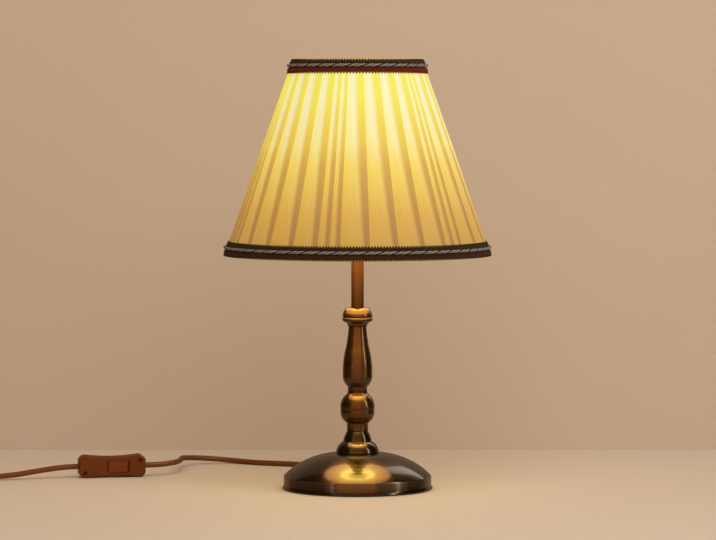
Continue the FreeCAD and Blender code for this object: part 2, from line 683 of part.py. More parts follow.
# Fitting ring and the three arms that carry it
fitting_low = flange_top
fitting_high = fitting_low + fitting_ring_thickness
save("shade_fitting_ring", collar(fitting_ring_radius, fitting_ring_outer, fitting_low, fitting_high))
arm_height = fitting_low - arm_wire_radius - seat_gap
arm_inner = flange_radius + arm_wire_radius
arm_knee = arm_inner + arm_foot_length
arm_outer = frame_limit(bottom_ring_height) - ring_wire_radius
arm_run = Vector(arm_outer - arm_knee, 0, bottom_ring_height - arm_height)
knee = Vector(arm_knee, 0, arm_height)
arm_leg = bar(knee, knee + arm_run, arm_wire_radius)
arm_foot = bar(Vector(arm_inner, 0, arm_height), knee, arm_wire_radius)
arm_ball = Part.makeSphere(arm_wire_radius, knee)
arm = arm_foot.fuse(arm_leg).fuse(arm_ball).cut(wire_ring(bottom_ring_height, ring_wire_radius, seat_gap))
arm = max(arm.Solids, key=lambda piece: piece.Volume)
arm_degrees = 360 / arm_count
first_arm_degrees = panel_start_degrees + panel_degrees / 2 - 90
save("shade_arms", *[turned_about(arm, first_arm_degrees + arm_degrees * i) for i in range(arm_count)])

# Ring nut over the fitting ring
nut_bore = holder_thread_radius + ring_nut_fit
ring_nut = collar(nut_bore, ring_nut_outer, fitting_high, fitting_high + ring_nut_flange)
ring_nut = ring_nut.fuse(collar(nut_bore, ring_nut_hub_radius, fitting_high, fitting_high + ring_nut_height))
for i in range(ring_nut_notches):
    angle = 2 * math.pi * i / ring_nut_notches
    notch = cylinder(ring_nut_notch_radius, fitting_high - overrun, fitting_high + ring_nut_flange + overrun)
    notch.translate(Vector(ring_nut_outer * math.cos(angle), ring_nut_outer * math.sin(angle), 0))
    ring_nut = ring_nut.cut(notch)
save("shade_ring_nut", ring_nut.removeSplitter())


def trim_band(low, high):
    """A sloping band laid round the outside of the cloth."""
    inner_low_r = cloth_radius(low) + trim_gap
    inner_high_r = cloth_radius(high) + trim_gap
    steps = [(inner_low_r, low), (inner_low_r + trim_thickness, low), (inner_high_r + trim_thickness, high),
             (inner_high_r, high), (inner_low_r, low)]
    return spun(outline(steps))


def trim_cord(low, high):
    """A round cord sewn along the middle of the band."""
    middle = (low + high) / 2
    radius = cloth_radius(middle) + trim_gap + trim_thickness + seat_gap
    slope = math.atan2(shade_low_radius - shade_high_radius, shade_height)
    to_flat = trim_cord_radius * math.cos(math.pi / wire_sides)
    return ring(radius + to_flat * math.cos(slope), middle + to_flat * math.sin(slope), trim_cord_radius,
                -math.degrees(slope))


save("bottom_trim_band", trim_band(bottom_trim_low, bottom_trim_high))
save("bottom_trim_cord", trim_cord(bottom_trim_low, bottom_trim_high))
save("top_trim_band", trim_band(top_trim_low, top_trim_high))
save("top_trim_cord", trim_cord(top_trim_low, top_trim_high))


cord_lengths = [switch_length]
cord_section = cord_sides / 2 * cord_radius ** 2 * math.sin(2 * math.pi / cord_sides)


def cord_tube(name, points):
    """Straight runs joined by tangent arcs, as large as the two runs allow."""
    places = [Vector(*p) for p in points]
    edges, radii = [], []
    here = places[0]
    for before, corner, after in zip(places, places[1:], places[2:]):
        run_in, run_out = corner - before, after - corner
        reach = bend_reach_share * min(run_in.Length, run_out.Length)
        way_in, way_out = run_in.normalize(), run_out.normalize()
        half_turn = way_in.getAngle(way_out) / 2
        radius = reach / math.tan(half_turn)
        towards = (way_out - way_in).normalize()
        middle = corner + towards * (radius / math.cos(half_turn) - radius)
        arc_start, arc_end = corner - way_in * reach, corner + way_out * reach
        edges.append(Part.LineSegment(here, arc_start).toShape())
        edges.append(Part.Arc(arc_start, middle, arc_end).toShape())
        radii.append(radius)
        here = arc_end
    edges.append(Part.LineSegment(here, places[-1]).toShape())
    path = Part.Wire(edges)
    section = many_sided(places[0], places[1] - places[0], cord_radius, cord_sides)
    solid = path.makePipeShell([section], True, False)
    expected = cord_section * path.Length
    cord_lengths.append(path.Length)
    print(name, "length", round(path.Length, 1), "least radius", round(min(radii), 1),
          "volume over section times length", round(solid.Volume / expected, 5))
    return solid


# Switch frame: middle of its foot, turned about the vertical
switch_centre = Vector(switch_place[0], switch_place[1], 0)
switch_way = Vector(math.cos(math.radians(switch_turn_degrees)), math.sin(math.radians(switch_turn_degrees)), 0)
switch_axis_height = switch_width / 2
switch_right = switch_centre + switch_way * (switch_length / 2) + up * switch_axis_height
switch_left = switch_centre - switch_way * (switch_length / 2) + up * switch_axis_height


def in_switch(shape):
    """Place a shape that was made about the switch's own axes."""
    copy = shape.copy()
    copy.rotate(Vector(0, 0, 0), up, switch_turn_degrees)
    copy.translate(switch_centre)
    return copy


# Cord: inside the base, to the switch, and on to the coil
save("cord_inner_end", Part.makeCylinder(cord_radius, route_to_switch[0][1] - cord_inner_end,
                                         Vector(0, cord_inner_end, cord_height), back))
first_route = route_to_switch + [tuple(switch_right + switch_way * switch_cord_run), tuple(switch_right)]
save("cord_to_switch", cord_tube("cord_to_switch", first_route))
coil_height = cord_radius + coil_lift
coil_entry = Vector(coil_centre[0], coil_centre[1] - coil_outer_radius, coil_height)
coil_start = coil_entry + Vector(2 * cord_radius, 0, 0)
coil_approach = coil_start + Vector(route_to_coil[-1][0] - coil_start.x, 0, 0) * 0.5
second_route = [tuple(switch_left), tuple(switch_left - switch_way * switch_cord_run)] + route_to_coil
second_route += [tuple(coil_approach), tuple(coil_start)]
save("cord_to_coil", cord_tube("cord_to_coil", second_route))


def coil_point(turn):
    """Axis of the coiled cord after a number of turns, clockwise from the front."""
    after_climb = turn - coil_turns_in - coil_climb
    inner_radius = coil_outer_radius - coil_pitch * coil_turns_in
    if turn <= coil_turns_in:
        radius, rise = coil_outer_radius - coil_pitch * turn, 0
    elif after_climb >= 0:
        radius, rise = inner_radius + coil_pitch * after_climb, 1
    else:
        climb = turn - coil_turns_in
        share = climb / coil_climb
        radius = inner_radius - coil_pitch * climb + coil_pitch * climb ** 2 / coil_climb
        rise = share ** 2 * (3 - 2 * share)
    angle = -math.pi / 2 - 2 * math.pi * turn
    return Vector(coil_centre[0] + radius * math.cos(angle), coil_centre[1] + radius * math.sin(angle),
                  coil_height + rise * coil_pitch)


def biarc(start, start_way, end, end_way):
    """Two arcs that join two points with the given directions."""
    chord = end - start
    both = start_way + end_way
    a = both.dot(both) - 4
    b = -2 * chord.dot(both)
    c = chord.dot(chord)
    reach = (-b - math.sqrt(b * b - 4 * a * c)) / (2 * a)
    if reach < 0:
        reach = (-b + math.sqrt(b * b - 4 * a * c)) / (2 * a)
    first, second = start + start_way * reach, end - end_way * reach
    joint = (first + second) * 0.5
    arcs = []
    for p, corner, q in ((start, first, joint), (joint, second, end)):
        half = (q - p).Length / 2
        apex = (p + q) * 0.5
        share = half / ((corner - p).Length + half)
        arcs.append(Part.Arc(p, apex + (corner - apex) * share, q).toShape())
    return arcs


coil_turns = coil_turns_in + coil_climb + coil_turns_out
small_turn = 1e-4
nodes = [coil_point(i / 4) for i in range(int(4 * coil_turns) + 1)]
ways = []
for i in range(len(nodes)):
    ahead, behind = min(i / 4 + small_turn, coil_turns), max(i / 4 - small_turn, 0)
    ways.append((coil_point(ahead) - coil_point(behind)).normalize())
ways[0] = Vector(-1, 0, 0)
ways[-1] = Vector(0, 1, 0)
coil_exit = nodes[-1]
coil_end = coil_exit + Vector(0, 2 * cord_radius, 0)
coil_edges = [Part.LineSegment(coil_start, coil_entry).toShape()]
for p, p_way, q, q_way in zip(nodes, ways, nodes[1:], ways[1:]):
    coil_edges += biarc(p, p_way, q, q_way)
coil_edges.append(Part.LineSegment(coil_exit, coil_end).toShape())
coil_path = Part.Wire(coil_edges)
coil_section = many_sided(coil_start, Vector(-1, 0, 0), cord_radius, cord_sides)
coil = coil_path.makePipeShell([coil_section], True, False)
samples = coil_path.discretize(Number=int(coil_path.Length / sample_step))
skip = int(math.pi * 2 * cord_radius / sample_step)
least = min((samples[i] - samples[j]).Length for i in range(len(samples)) for j in range(i + skip, len(samples)))
print("coil length", round(coil_path.Length, 1), "least gap", round(least - 2 * cord_radius, 2),
      "least radius", round(min(e.Curve.Radius for e in coil_edges[1:-1]), 1),
      "volume over section times length", round(coil.Volume / (cord_section * coil_path.Length), 5))
cord_lengths.append(coil_path.Length)
save("cord_coil", coil)

# Tie round the turns of the coil
tie_inner = coil_outer_radius - coil_pitch * (coil_turns_in + coil_climb / 4) - cord_radius - tie_gap
tie_outer = coil_outer_radius + cord_radius + tie_gap
tie_low = coil_lift - tie_thickness
tie_high = coil_height + coil_pitch + cord_radius + tie_gap
tie_corner = Vector(tie_inner - tie_thickness, -tie_width / 2, tie_low - seat_gap)
tie_block = Part.makeBox(tie_outer - tie_inner + 2 * tie_thickness, tie_width,
                         tie_high + tie_thickness - tie_low, tie_corner)
tie_hole = Part.makeBox(tie_outer - tie_inner, tie_width + 2 * overrun, tie_high - coil_lift,
                        Vector(tie_inner, -tie_width / 2 - overrun, coil_lift - seat_gap))
tie_block = tie_block.makeFillet(2 * tie_thickness, [e for e in tie_block.Edges if abs(e.tangentAt(0).y) > 0.9])
tie = turned_about(tie_block.cut(tie_hole), tie_degrees)
tie.translate(Vector(coil_centre[0], coil_centre[1], 0))
save("coil_tie", tie)

# Lead to the plug, the plug's strain relief, body and pins
relief_start = Vector(coil_end.x, coil_end.y + plug_lead_length, plug_thickness / 2)
lead_places = [coil_end + back * (plug_lead_length * share) for share in plug_lead_shares]
lead_places[1].x += cord_radius / 4
lead_places[1].z = (coil_end.z + relief_start.z) / 2
lead_places[2].z = relief_start.z
lead_route = [tuple(coil_end)] + [tuple(place) for place in lead_places] + [tuple(relief_start)]
save("cord_plug_lead", cord_tube("cord_plug_lead", lead_route))
save("plug_strain_relief", Part.makeCone(plug_relief_tip, plug_relief_radius, plug_relief_length, relief_start, back))
plug_face = relief_start.y + plug_relief_length + plug_length
plug_steps = fitted(plug_shares, plug_width, 0, plug_length)
half_edges = []
for side in (1, -1):
    here = Vector(side * plug_steps[0][0], -plug_steps[0][1], 0)
    for step in plug_steps[1:]:
        there = Vector(side * step[-2], -step[-1], 0)
        if len(step) == 4:
            half_edges.append(Part.Arc(here, Vector(side * step[0], -step[1], 0), there).toShape())
        else:
            half_edges.append(Part.LineSegment(here, there).toShape())
        here = there
    half_edges.append(Part.LineSegment(here, Vector(0, here.y, 0)).toShape())
    half_edges.append(Part.LineSegment(Vector(side * plug_steps[0][0], 0, 0), Vector(0, 0, 0)).toShape())
plug_plan = Part.Face(Part.Wire(Part.__sortEdges__(half_edges)))
plug = plug_plan.extrude(up * plug_thickness).removeSplitter()
flat_edges = [e for e in plug.Edges if abs(e.BoundBox.ZLength) < seat_gap]
plug = plug.makeFillet(plug_round, flat_edges)
plug.translate(Vector(relief_start.x, plug_face, 0))
save("plug_body", plug)
pins = []
for side in (-1, 1):
    foot = Vector(relief_start.x + side * pin_spacing / 2, plug_face, plug_thickness / 2)
    pin = Part.makeCylinder(pin_radius, pin_length - pin_radius, foot, back)
    tip = Part.makeSphere(pin_radius, foot + back * (pin_length - pin_radius))
    pins.append(pin.fuse(tip).removeSplitter())
save("plug_pins", *pins)

# Switch shells: one outline, split down the middle of the thickness
half_length = switch_length / 2
shoulder = switch_shoulder_share * switch_length
flat_low = switch_axis_height - switch_end_flat / 2
flat_high = switch_axis_height + switch_end_flat / 2
corner_x = shoulder + (half_length - shoulder) * switch_corner_shares[0]
corner_z = flat_low * switch_corner_shares[1]
switch_steps = [(-shoulder, 0), (0, switch_waist, shoulder, 0), (corner_x, corner_z, half_length, flat_low),
                (half_length, flat_high), (corner_x, switch_width - corner_z, shoulder, switch_width),
                (0, switch_width - switch_waist, -shoulder, switch_width),
                (-corner_x, switch_width - corner_z, -half_length, flat_high), (-half_length, flat_low),
                (-corner_x, corner_z, -shoulder, 0)]
switch_plan = Part.Face(Part.Wire(outline(switch_steps)))
half_thickness = switch_thickness / 2


def switch_half(way):
    """One shell, its outer edges rounded."""
    half = switch_plan.extrude(back * (way * half_thickness))
    outer_edges = [e for e in half.Edges
                   if abs(e.BoundBox.YMax - e.BoundBox.YMin) < seat_gap and e.CenterOfMass.y * way > seat_gap]
    return half.makeFillet(switch_round, outer_edges)


pocket = Part.makeBox(2 * (rocker_swing_radius + rocker_side_gap), rocker_pocket_depth + overrun,
                      rocker_width + 2 * rocker_side_gap,
                      Vector(rocker_offset - rocker_swing_radius - rocker_side_gap, -half_thickness - overrun,
                             switch_axis_height - rocker_width / 2 - rocker_side_gap))
pivot = Vector(rocker_offset, rocker_pivot_depth - half_thickness, switch_axis_height)
axle_half = rocker_width / 2 + rocker_axle_length
socket_half = axle_half + running_fit
socket = Part.makeCylinder(rocker_axle_radius + running_fit, 2 * socket_half, pivot - up * socket_half)
front = switch_half(-1).cut(pocket).cut(socket)
rear = switch_half(1)
switch_screws = []
for side in (-1, 1):
    x, z = side * switch_screw_offset[0], switch_axis_height + side * switch_screw_offset[1]
    face = Vector(x, -half_thickness, z)
    head_face = face + back * (switch_screw_recess - switch_screw_head_height)
    recess = Part.makeCylinder(switch_screw_head_radius + running_fit, switch_screw_recess + overrun,
                               face - back * overrun, back)
    hole = Part.makeCylinder(switch_screw_radius + running_fit, switch_screw_length + running_fit, face, back)
    front = front.cut(recess).cut(hole)
    rear = rear.cut(hole)
    head = Part.makeCylinder(switch_screw_head_radius, switch_screw_head_height, head_face, back)
    shank = Part.makeCylinder(switch_screw_radius, switch_screw_length, face + back * running_fit, back)
    shank = shank.cut(Part.makeCylinder(switch_screw_head_radius, switch_screw_recess - switch_screw_head_height,
                                        face, back))
    switch_screws.append(in_switch(head.fuse(shank).removeSplitter()))
save("switch_front_shell", in_switch(front))
save("switch_back_shell", in_switch(rear))
save("switch_screws", *switch_screws)

# Rocker: its ends are arcs about the pivot, its front two flats that meet in the middle
reach_front = rocker_pivot_depth + rocker_ends
front_x = math.sqrt(rocker_swing_radius ** 2 - reach_front ** 2)
back_x = math.sqrt(rocker_swing_radius ** 2 - rocker_back ** 2)
rocker_low = pivot - up * (rocker_width / 2)


def about_pivot(x, y):
    return rocker_low + Vector(x, y, 0)


rocker_edges = [Part.LineSegment(about_pivot(-back_x, rocker_back), about_pivot(back_x, rocker_back)).toShape(),
                Part.Arc(about_pivot(back_x, rocker_back), about_pivot(rocker_swing_radius, 0),
                         about_pivot(front_x, -reach_front)).toShape(),
                Part.LineSegment(about_pivot(front_x, -reach_front),
                                 about_pivot(0, -rocker_pivot_depth - rocker_crest)).toShape(),
                Part.LineSegment(about_pivot(0, -rocker_pivot_depth - rocker_crest),
                                 about_pivot(-front_x, -reach_front)).toShape(),
                Part.Arc(about_pivot(-front_x, -reach_front), about_pivot(-rocker_swing_radius, 0),
                         about_pivot(-back_x, rocker_back)).toShape()]
rocker = Part.Face(Part.Wire(rocker_edges)).extrude(up * rocker_width)
axle = Part.makeCylinder(rocker_axle_radius, 2 * axle_half, pivot - up * axle_half)
rocker = turned_about(rocker.fuse(axle).removeSplitter(), -rocker_tilt_degrees, pivot)
save("switch_rocker", in_switch(rocker))
pivot_in_room = in_switch(Part.Vertex(pivot)).Point
print("rocker pivot", tuple(round(v, 3) for v in pivot_in_room))
print("cord from the bush to the plug, with the switch", round(sum(cord_lengths), 1))
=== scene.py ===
# %% [markdown]
# A bedside lamp with a pleated shade. The real lamp is a stack of turned brass pieces drawn
# together by a threaded rod, a small bulb in its holder, a wire frame dressed in pleated cloth,
# and a brown cord with a switch in it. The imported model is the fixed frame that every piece
# here is built around, so it is loaded first and nothing in it is ever moved.

# %% Load the frame
import math

import bpy
import numpy as np
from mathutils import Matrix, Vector


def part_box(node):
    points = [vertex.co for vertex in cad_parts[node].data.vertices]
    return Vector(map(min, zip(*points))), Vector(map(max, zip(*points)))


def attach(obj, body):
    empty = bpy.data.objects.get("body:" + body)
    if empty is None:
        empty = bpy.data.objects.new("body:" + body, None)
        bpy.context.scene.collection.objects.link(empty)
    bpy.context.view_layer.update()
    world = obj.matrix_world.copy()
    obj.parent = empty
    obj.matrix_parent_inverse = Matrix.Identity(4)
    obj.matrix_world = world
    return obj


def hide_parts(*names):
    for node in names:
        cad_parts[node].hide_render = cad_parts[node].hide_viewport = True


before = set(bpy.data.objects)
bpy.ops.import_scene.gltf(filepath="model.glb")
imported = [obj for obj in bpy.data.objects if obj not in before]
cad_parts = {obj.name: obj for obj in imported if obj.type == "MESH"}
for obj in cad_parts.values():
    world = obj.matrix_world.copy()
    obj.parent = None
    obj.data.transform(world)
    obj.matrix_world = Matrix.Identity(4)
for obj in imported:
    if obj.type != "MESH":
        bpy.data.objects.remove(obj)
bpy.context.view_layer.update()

mm = 0.001
print("the frame has", len(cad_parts), "nodes")

# %% [markdown]
# The camera comes first, because what it sees decides how much of the cord may lie in the open.
# The photograph has hardly any perspective: a long lens from far away, nearly as high as the top
# of the shade and tilted down by three degrees. One picture point is one millimetre at the stem.

# %% Camera
picture_width = 716
focal_length_in_points = 3405
film_width = 36
camera_away, camera_height, aim_height = 3.4, 0.395, 0.2194
camera_aside = 0.5 * mm


def in_scene(name, data):
    """An object with the given data, put in the scene."""
    made = bpy.data.objects.new(name, data)
    bpy.context.scene.collection.objects.link(made)
    return made


lens = bpy.data.cameras.new("lens")
lens.sensor_width = film_width
lens.lens = focal_length_in_points / picture_width * film_width
camera = in_scene("camera", lens)
camera.location = (camera_aside, -camera_away, camera_height)
aim = Vector((camera_aside, 0, aim_height)) - camera.location
camera.rotation_euler = aim.to_track_quat("-Z", "Y").to_euler()
bpy.context.scene.camera = camera
bpy.context.scene.view_settings.view_transform = "Standard"
print("lens", round(lens.lens, 1), "mm")

# %% [markdown]
# Everything below is either a mesh made from rows of points or a curve with a round section.
# A few helpers cover that: one turns a grid of points into faces, one makes a mesh piece and
# keeps its sharp edges sharp, and one makes it ride on its part of the lamp, names its finish
# and hides the plain solid that it stands for.


# %% Helpers for pieces
def grid_faces(rows, columns, wrap_rows=False, wrap_columns=False):
    """Quads over a grid of points that is stored row by row."""
    r, c = np.meshgrid(np.arange(rows - (not wrap_rows)), np.arange(columns - (not wrap_columns)),
                       indexing="ij")
    r_next, c_next = (r + 1) % rows, (c + 1) % columns
    corners = [r * columns + c, r * columns + c_next, r_next * columns + c_next, r_next * columns + c]
    return np.stack(corners, axis=-1).reshape(-1, 4)


def mesh_piece(name, points, faces, sharp_degrees=35, values=None):
    """A smooth piece whose edges stay sharp where they bend more than the given angle."""
    mesh = bpy.data.meshes.new(name)
    mesh.from_pydata(np.asarray(points, float).reshape(-1, 3).tolist(), [], np.asarray(faces).tolist())
    for label, numbers in (values or {}).items():
        mesh.attributes.new(label, "FLOAT", "POINT").data.foreach_set("value", np.ravel(numbers))
    mesh.shade_smooth()
    mesh.set_sharp_from_angle(angle=math.radians(sharp_degrees))
    return in_scene(name, mesh)


def all_round(count):
    """Angles spread evenly over one turn."""
    return np.linspace(0, 2 * math.pi, count, endpoint=False)


def dress(piece, body, finishes, stands_for=()):
    """Give a piece its finish, its body and the nodes that it stands for."""
    for finish in finishes:
        piece.data.materials.append(finish)
    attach(piece, body)
    if stands_for:
        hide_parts(*stands_for)
    return piece


# %% [markdown]
# A real cord is one smooth line, so each free stretch is a NURBS curve whose control points are
# the route that the cord was given: straight out of the rim, down to the table, round behind the
# foot and into the switch. The part of it that the photograph does not show is wound into a coil
# past the picture's left edge. The coil's turns come from the rule of a spiral that winds in,
# climbs one layer and winds out again. The routes are in millimetres.

# %% Cord: its routes
cord_thickness = 5.6 * mm
route_to_switch = [(0, 97.5, 6.9), (0, 113, 6.9), (-4, 137, 4.2), (-14, 160, 2.8), (-31, 180, 2.8),
                   (-54, 195, 2.8), (-80, 203.5, 2.8), (-106, 213.5, 2.8), (-129, 229, 3.0),
                   (-149, 232.5, 4.6), (-167.7, 225.5, 6.6), (-181, 210.3, 8.5), (-186.8, 189, 10.2),
                   (-185.3, 160, 11.6), (-187.9, 134, 12.3), (-195.6, 121.1, 12.1)]
route_to_coil = [(-326, 86, 8.6), (-352, 76.5, 4.8), (-378, 69.4, 3.4), (-401.2, 67, 3.4),
                 (-424.4, 67, 3.4)]
route_to_plug = [(-469.55, 110.6, 9.6), (-469.55, 122.1, 9.6), (-468.85, 134.52, 8.225),
                 (-469.55, 146.48, 6.85), (-469.55, 156.6, 6.85)]
route_under_foot = [(0, 26, 6.9), (0, 61, 6.9), (0, 97.5, 6.9)]
switch_middle = Vector((-254, 103, 11.6))
switch_length, switch_cord_run = 69.0, 13.5
switch_turn = math.radians(12)
switch_way = Vector((math.cos(switch_turn), math.sin(switch_turn), 0))
switch_right = switch_middle + switch_way * (switch_length / 2)
switch_left = switch_middle - switch_way * (switch_length / 2)
print("switch from", switch_left[:], "to", switch_right[:])

# %% Cord: the put-away coil
coil_middle = Vector((-430, 105, 3.4))
coil_radius, coil_pitch = 38.0, 6.2
turns_in, climb_turns, turns_out = 2.75, 0.5, 3.0
coil_turns = turns_in + climb_turns + turns_out
points_per_turn = 24
# The curve runs inside its control points, so those stand out by what it falls short.
falls_to = 0.75 + 0.25 * math.cos(2 * math.pi / points_per_turn)


def coil_point(turn):
    """The cord's axis after a number of turns, clockwise from the front."""
    inner_radius = coil_radius - coil_pitch * turns_in
    climb = min(max(turn - turns_in, 0), climb_turns)
    share = climb / climb_turns
    if turn < turns_in:
        radius = coil_radius - coil_pitch * turn
    elif turn > turns_in + climb_turns:
        radius = inner_radius + coil_pitch * (turn - turns_in - climb_turns)
    else:
        radius = inner_radius - coil_pitch * climb + coil_pitch * climb ** 2 / climb_turns
    rise = share ** 2 * (3 - 2 * share) * coil_pitch
    angle = -math.pi / 2 - 2 * math.pi * turn
    across = Vector((math.cos(angle), math.sin(angle), 0)) * (radius / falls_to)
    return coil_middle + across + Vector((0, 0, rise))


turns = [coil_point(i / points_per_turn) for i in range(1, int(coil_turns * points_per_turn))]
coil_entry = coil_middle + Vector((0, -coil_radius, 0))
exit_radius = coil_radius + coil_pitch * (turns_out - turns_in)
coil_exit = coil_middle + Vector((-exit_radius, 0, coil_pitch))
print("coil of", coil_turns, "turns,", len(turns), "points")


# %% Cord: its curves
def cord_curve(name, points):
    """A round cord on a smooth spline; the order is set after the points."""
    curve = bpy.data.curves.new(name, "CURVE")
    curve.dimensions = "3D"
    spline = curve.splines.new("NURBS")
    spline.points.add(len(points) - 1)
    for knot, place in zip(spline.points, points):
        knot.co = (*(Vector(place) * mm), 1)
    spline.order_u = 3
    spline.use_endpoint_u = True
    spline.resolution_u = 6
    curve.bevel_depth = cord_thickness / 2
    curve.bevel_resolution = 5
    curve.use_fill_caps = True
    return in_scene(name, curve)


into_switch = [switch_right + switch_way * switch_cord_run, switch_right]
out_of_switch = [switch_left, switch_left - switch_way * switch_cord_run]
lamp_cord = cord_curve("lamp_cord", route_to_switch + into_switch)
plug_cord = cord_curve("plug_cord", out_of_switch + route_to_coil + [coil_entry] + turns + [coil_exit]
                       + route_to_plug)
base_cord = cord_curve("base_cord", route_under_foot)
print("cord points", [len(cord.data.splines[0].points) for cord in (lamp_cord, plug_cord, base_cord)])

# %% [markdown]
# A finish is a tree of shader nodes. Written out one by one, these trees are long and all alike,
# so a few helpers add a node and feed it in one call. Numbers that are the same all over a
# surface go straight on the shader's own sockets, and only what varies is linked.


# %% Node helpers
def put(tree, kind, feeds=None, **settings):
    """Add a node, set it up, and feed its inputs with numbers or outputs."""
    made = tree.nodes.new(kind)
    for key, value in settings.items():
        setattr(made, key, value)
    for key, value in (feeds or {}).items():
        if isinstance(value, bpy.types.NodeSocket):
            tree.links.new(value, made.inputs[key])
        else:
            made.inputs[key].default_value = value
    return made


def calc(tree, operation, a, b=0.0):
    """One sum on numbers or outputs."""
    return put(tree, "ShaderNodeMath", {0: a, 1: b}, operation=operation).outputs[0]


def rescaled(tree, value, low, high, new_low=0.0, new_high=1.0):
    """Spread a value's range over a new one."""
    return put(tree, "ShaderNodeMapRange", {0: value, 1: low, 2: high, 3: new_low, 4: new_high}).outputs[0]


def mixed(tree, share, first, second):
    """A colour between two; each may be three numbers or an output."""
    feeds = {0: share}
    for slot_number, colour in ((6, first), (7, second)):
        feeds[slot_number] = colour if isinstance(colour, bpy.types.NodeSocket) else (*colour, 1)
    return put(tree, "ShaderNodeMix", feeds, data_type="RGBA").outputs[2]


def scaled(tree, colour, factor):
    """A colour made lighter or darker by a number."""
    return put(tree, "ShaderNodeVectorMath", {0: colour, "Scale": factor}, operation="SCALE").outputs[0]


def noise(tree, place, size, detail):
    """A soft cloud pattern between nought and one."""
    feeds = {"Vector": place, "Scale": size, "Detail": detail}
    return put(tree, "ShaderNodeTexNoise", feeds).outputs["Fac"]


def object_place(tree):
    """The point of the surface in the lamp's own metres."""
    return put(tree, "ShaderNodeTexCoord").outputs["Object"]


def stored(tree, label):
    """A value that the mesh carries at each of its points."""
    return put(tree, "ShaderNodeAttribute", attribute_name=label).outputs["Fac"]


def seen_in_mirror(tree):
    """One where the surface is seen in a mirror, and nought elsewhere."""
    return put(tree, "ShaderNodeLightPath").outputs["Is Glossy Ray"]


def new_finish(name, fixed):
    """A material with its Principled shader; fixed numbers go on the shader's own sockets."""
    finish = bpy.data.materials.new(name)
    finish.use_nodes = True
    shader = finish.node_tree.nodes["Principled BSDF"]
    for socket, value in fixed.items():
        shader.inputs[socket].default_value = value
    return finish, finish.node_tree, shader.inputs


def add_bump(tree, shader, height, strength, depth):
    """Feed the shader's normal from a relief of a given depth in millimetres."""
    bump = put(tree, "ShaderNodeBump", {"Height": height, "Strength": strength, "Distance": depth * mm})
    tree.links.new(bump.outputs[0], shader["Normal"])


# %% [markdown]
# The stage is a plain floor and a plain wall close behind the lamp. Both are paler to the camera
# than to a mirror, because polished metal shows whatever stands around it, and a bright stage
# all round would make the dark brass look grey. The wall is clear from behind, so that views
# from the back see the lamp.

# %% Floor and wall
stage_width, wall_away, wall_height = 9.0, 0.37, 4.0
mirrored_stage_share = 0.36


def stage_finish(name, colour, deeper, see_through_back=False):
    """A matt, softly mottled painted surface."""
    finish, tree, shader = new_finish(name, {"Roughness": 0.75})
    painted = mixed(tree, noise(tree, object_place(tree), 2.5, 4.0), colour, deeper)
    darker = [mirrored_stage_share * level for level in deeper]
    tree.links.new(mixed(tree, seen_in_mirror(tree), painted, darker), shader["Base Color"])
    if see_through_back:
        from_behind = put(tree, "ShaderNodeNewGeometry").outputs["Backfacing"]
        front = tree.nodes["Principled BSDF"].outputs[0]
        clear = put(tree, "ShaderNodeBsdfTransparent").outputs[0]
        choice = put(tree, "ShaderNodeMixShader", {0: from_behind, 1: front, 2: clear})
        tree.links.new(choice.outputs[0], tree.nodes["Material Output"].inputs[0])
    return finish


half = stage_width / 2
quad = [(0, 1, 2, 3)]
floor = mesh_piece("floor", [(-half, -half, 0), (half, -half, 0), (half, half, 0), (-half, half, 0)], quad)
floor.data.materials.append(stage_finish("floor paint", (0.78, 0.66, 0.53), (0.74, 0.62, 0.50)))
wall = mesh_piece("wall", [(-half, wall_away, 0), (half, wall_away, 0), (half, wall_away, wall_height),
                           (-half, wall_away, wall_height)], quad)
wall.data.materials.append(stage_finish("wall paint", (0.66, 0.53, 0.42), (0.62, 0.50, 0.39), True))
print("stage", stage_width, "m wide, wall", wall_away, "m behind the stem")

# %% [markdown]
# Light. In the photograph it is soft and comes from above, cooler at the right and warmer at the
# left, and the metal mostly mirrors something dim and warm, so its sides stay dark. In Blender a
# lamp may light a surface, show in a mirror, or do both, and here each has one job. Two large
# ones that no mirror sees give the plain level. Two narrow ones draw the upright streaks on the
# stem. Three that only mirrors see are the warm front, the pale patch at the right of the foot
# and the bulb's own glow, which is the gold in the foot. Two dark cards that only mirrors see
# keep the sides of the stem dark.

# %% World and lamps
world = bpy.data.worlds.new("room")
bpy.context.scene.world = world
world.use_nodes = True
sky = world.node_tree
background = sky.nodes["Background"].inputs
background["Strength"].default_value = 0.42
warm_air, warm_air_in_mirrors = (1.0, 0.80, 0.62), (0.42, 0.34, 0.22)
sky.links.new(mixed(sky, seen_in_mirror(sky), warm_air, warm_air_in_mirrors), background["Color"])


def soft_lamp(name, place, size, brightness, colour, aim_at=(0, 0, 0.15), seen_by="all"):
    """A rectangle of light with a brightness per area, seen by matt surfaces, mirrors or all."""
    light = bpy.data.lights.new(name, "AREA")
    light.shape = "RECTANGLE"
    light.size, light.size_y = size
    light.color = colour
    light.energy = brightness * math.pi * light.size * light.size_y
    lamp = in_scene(name, light)
    lamp.location = place
    lamp.rotation_euler = (Vector(aim_at) - Vector(place)).to_track_quat("-Z", "Y").to_euler()
    lamp.visible_camera = False
    lamp.visible_glossy = seen_by != "matt"
    lamp.visible_diffuse = seen_by != "mirrors"
    return lamp


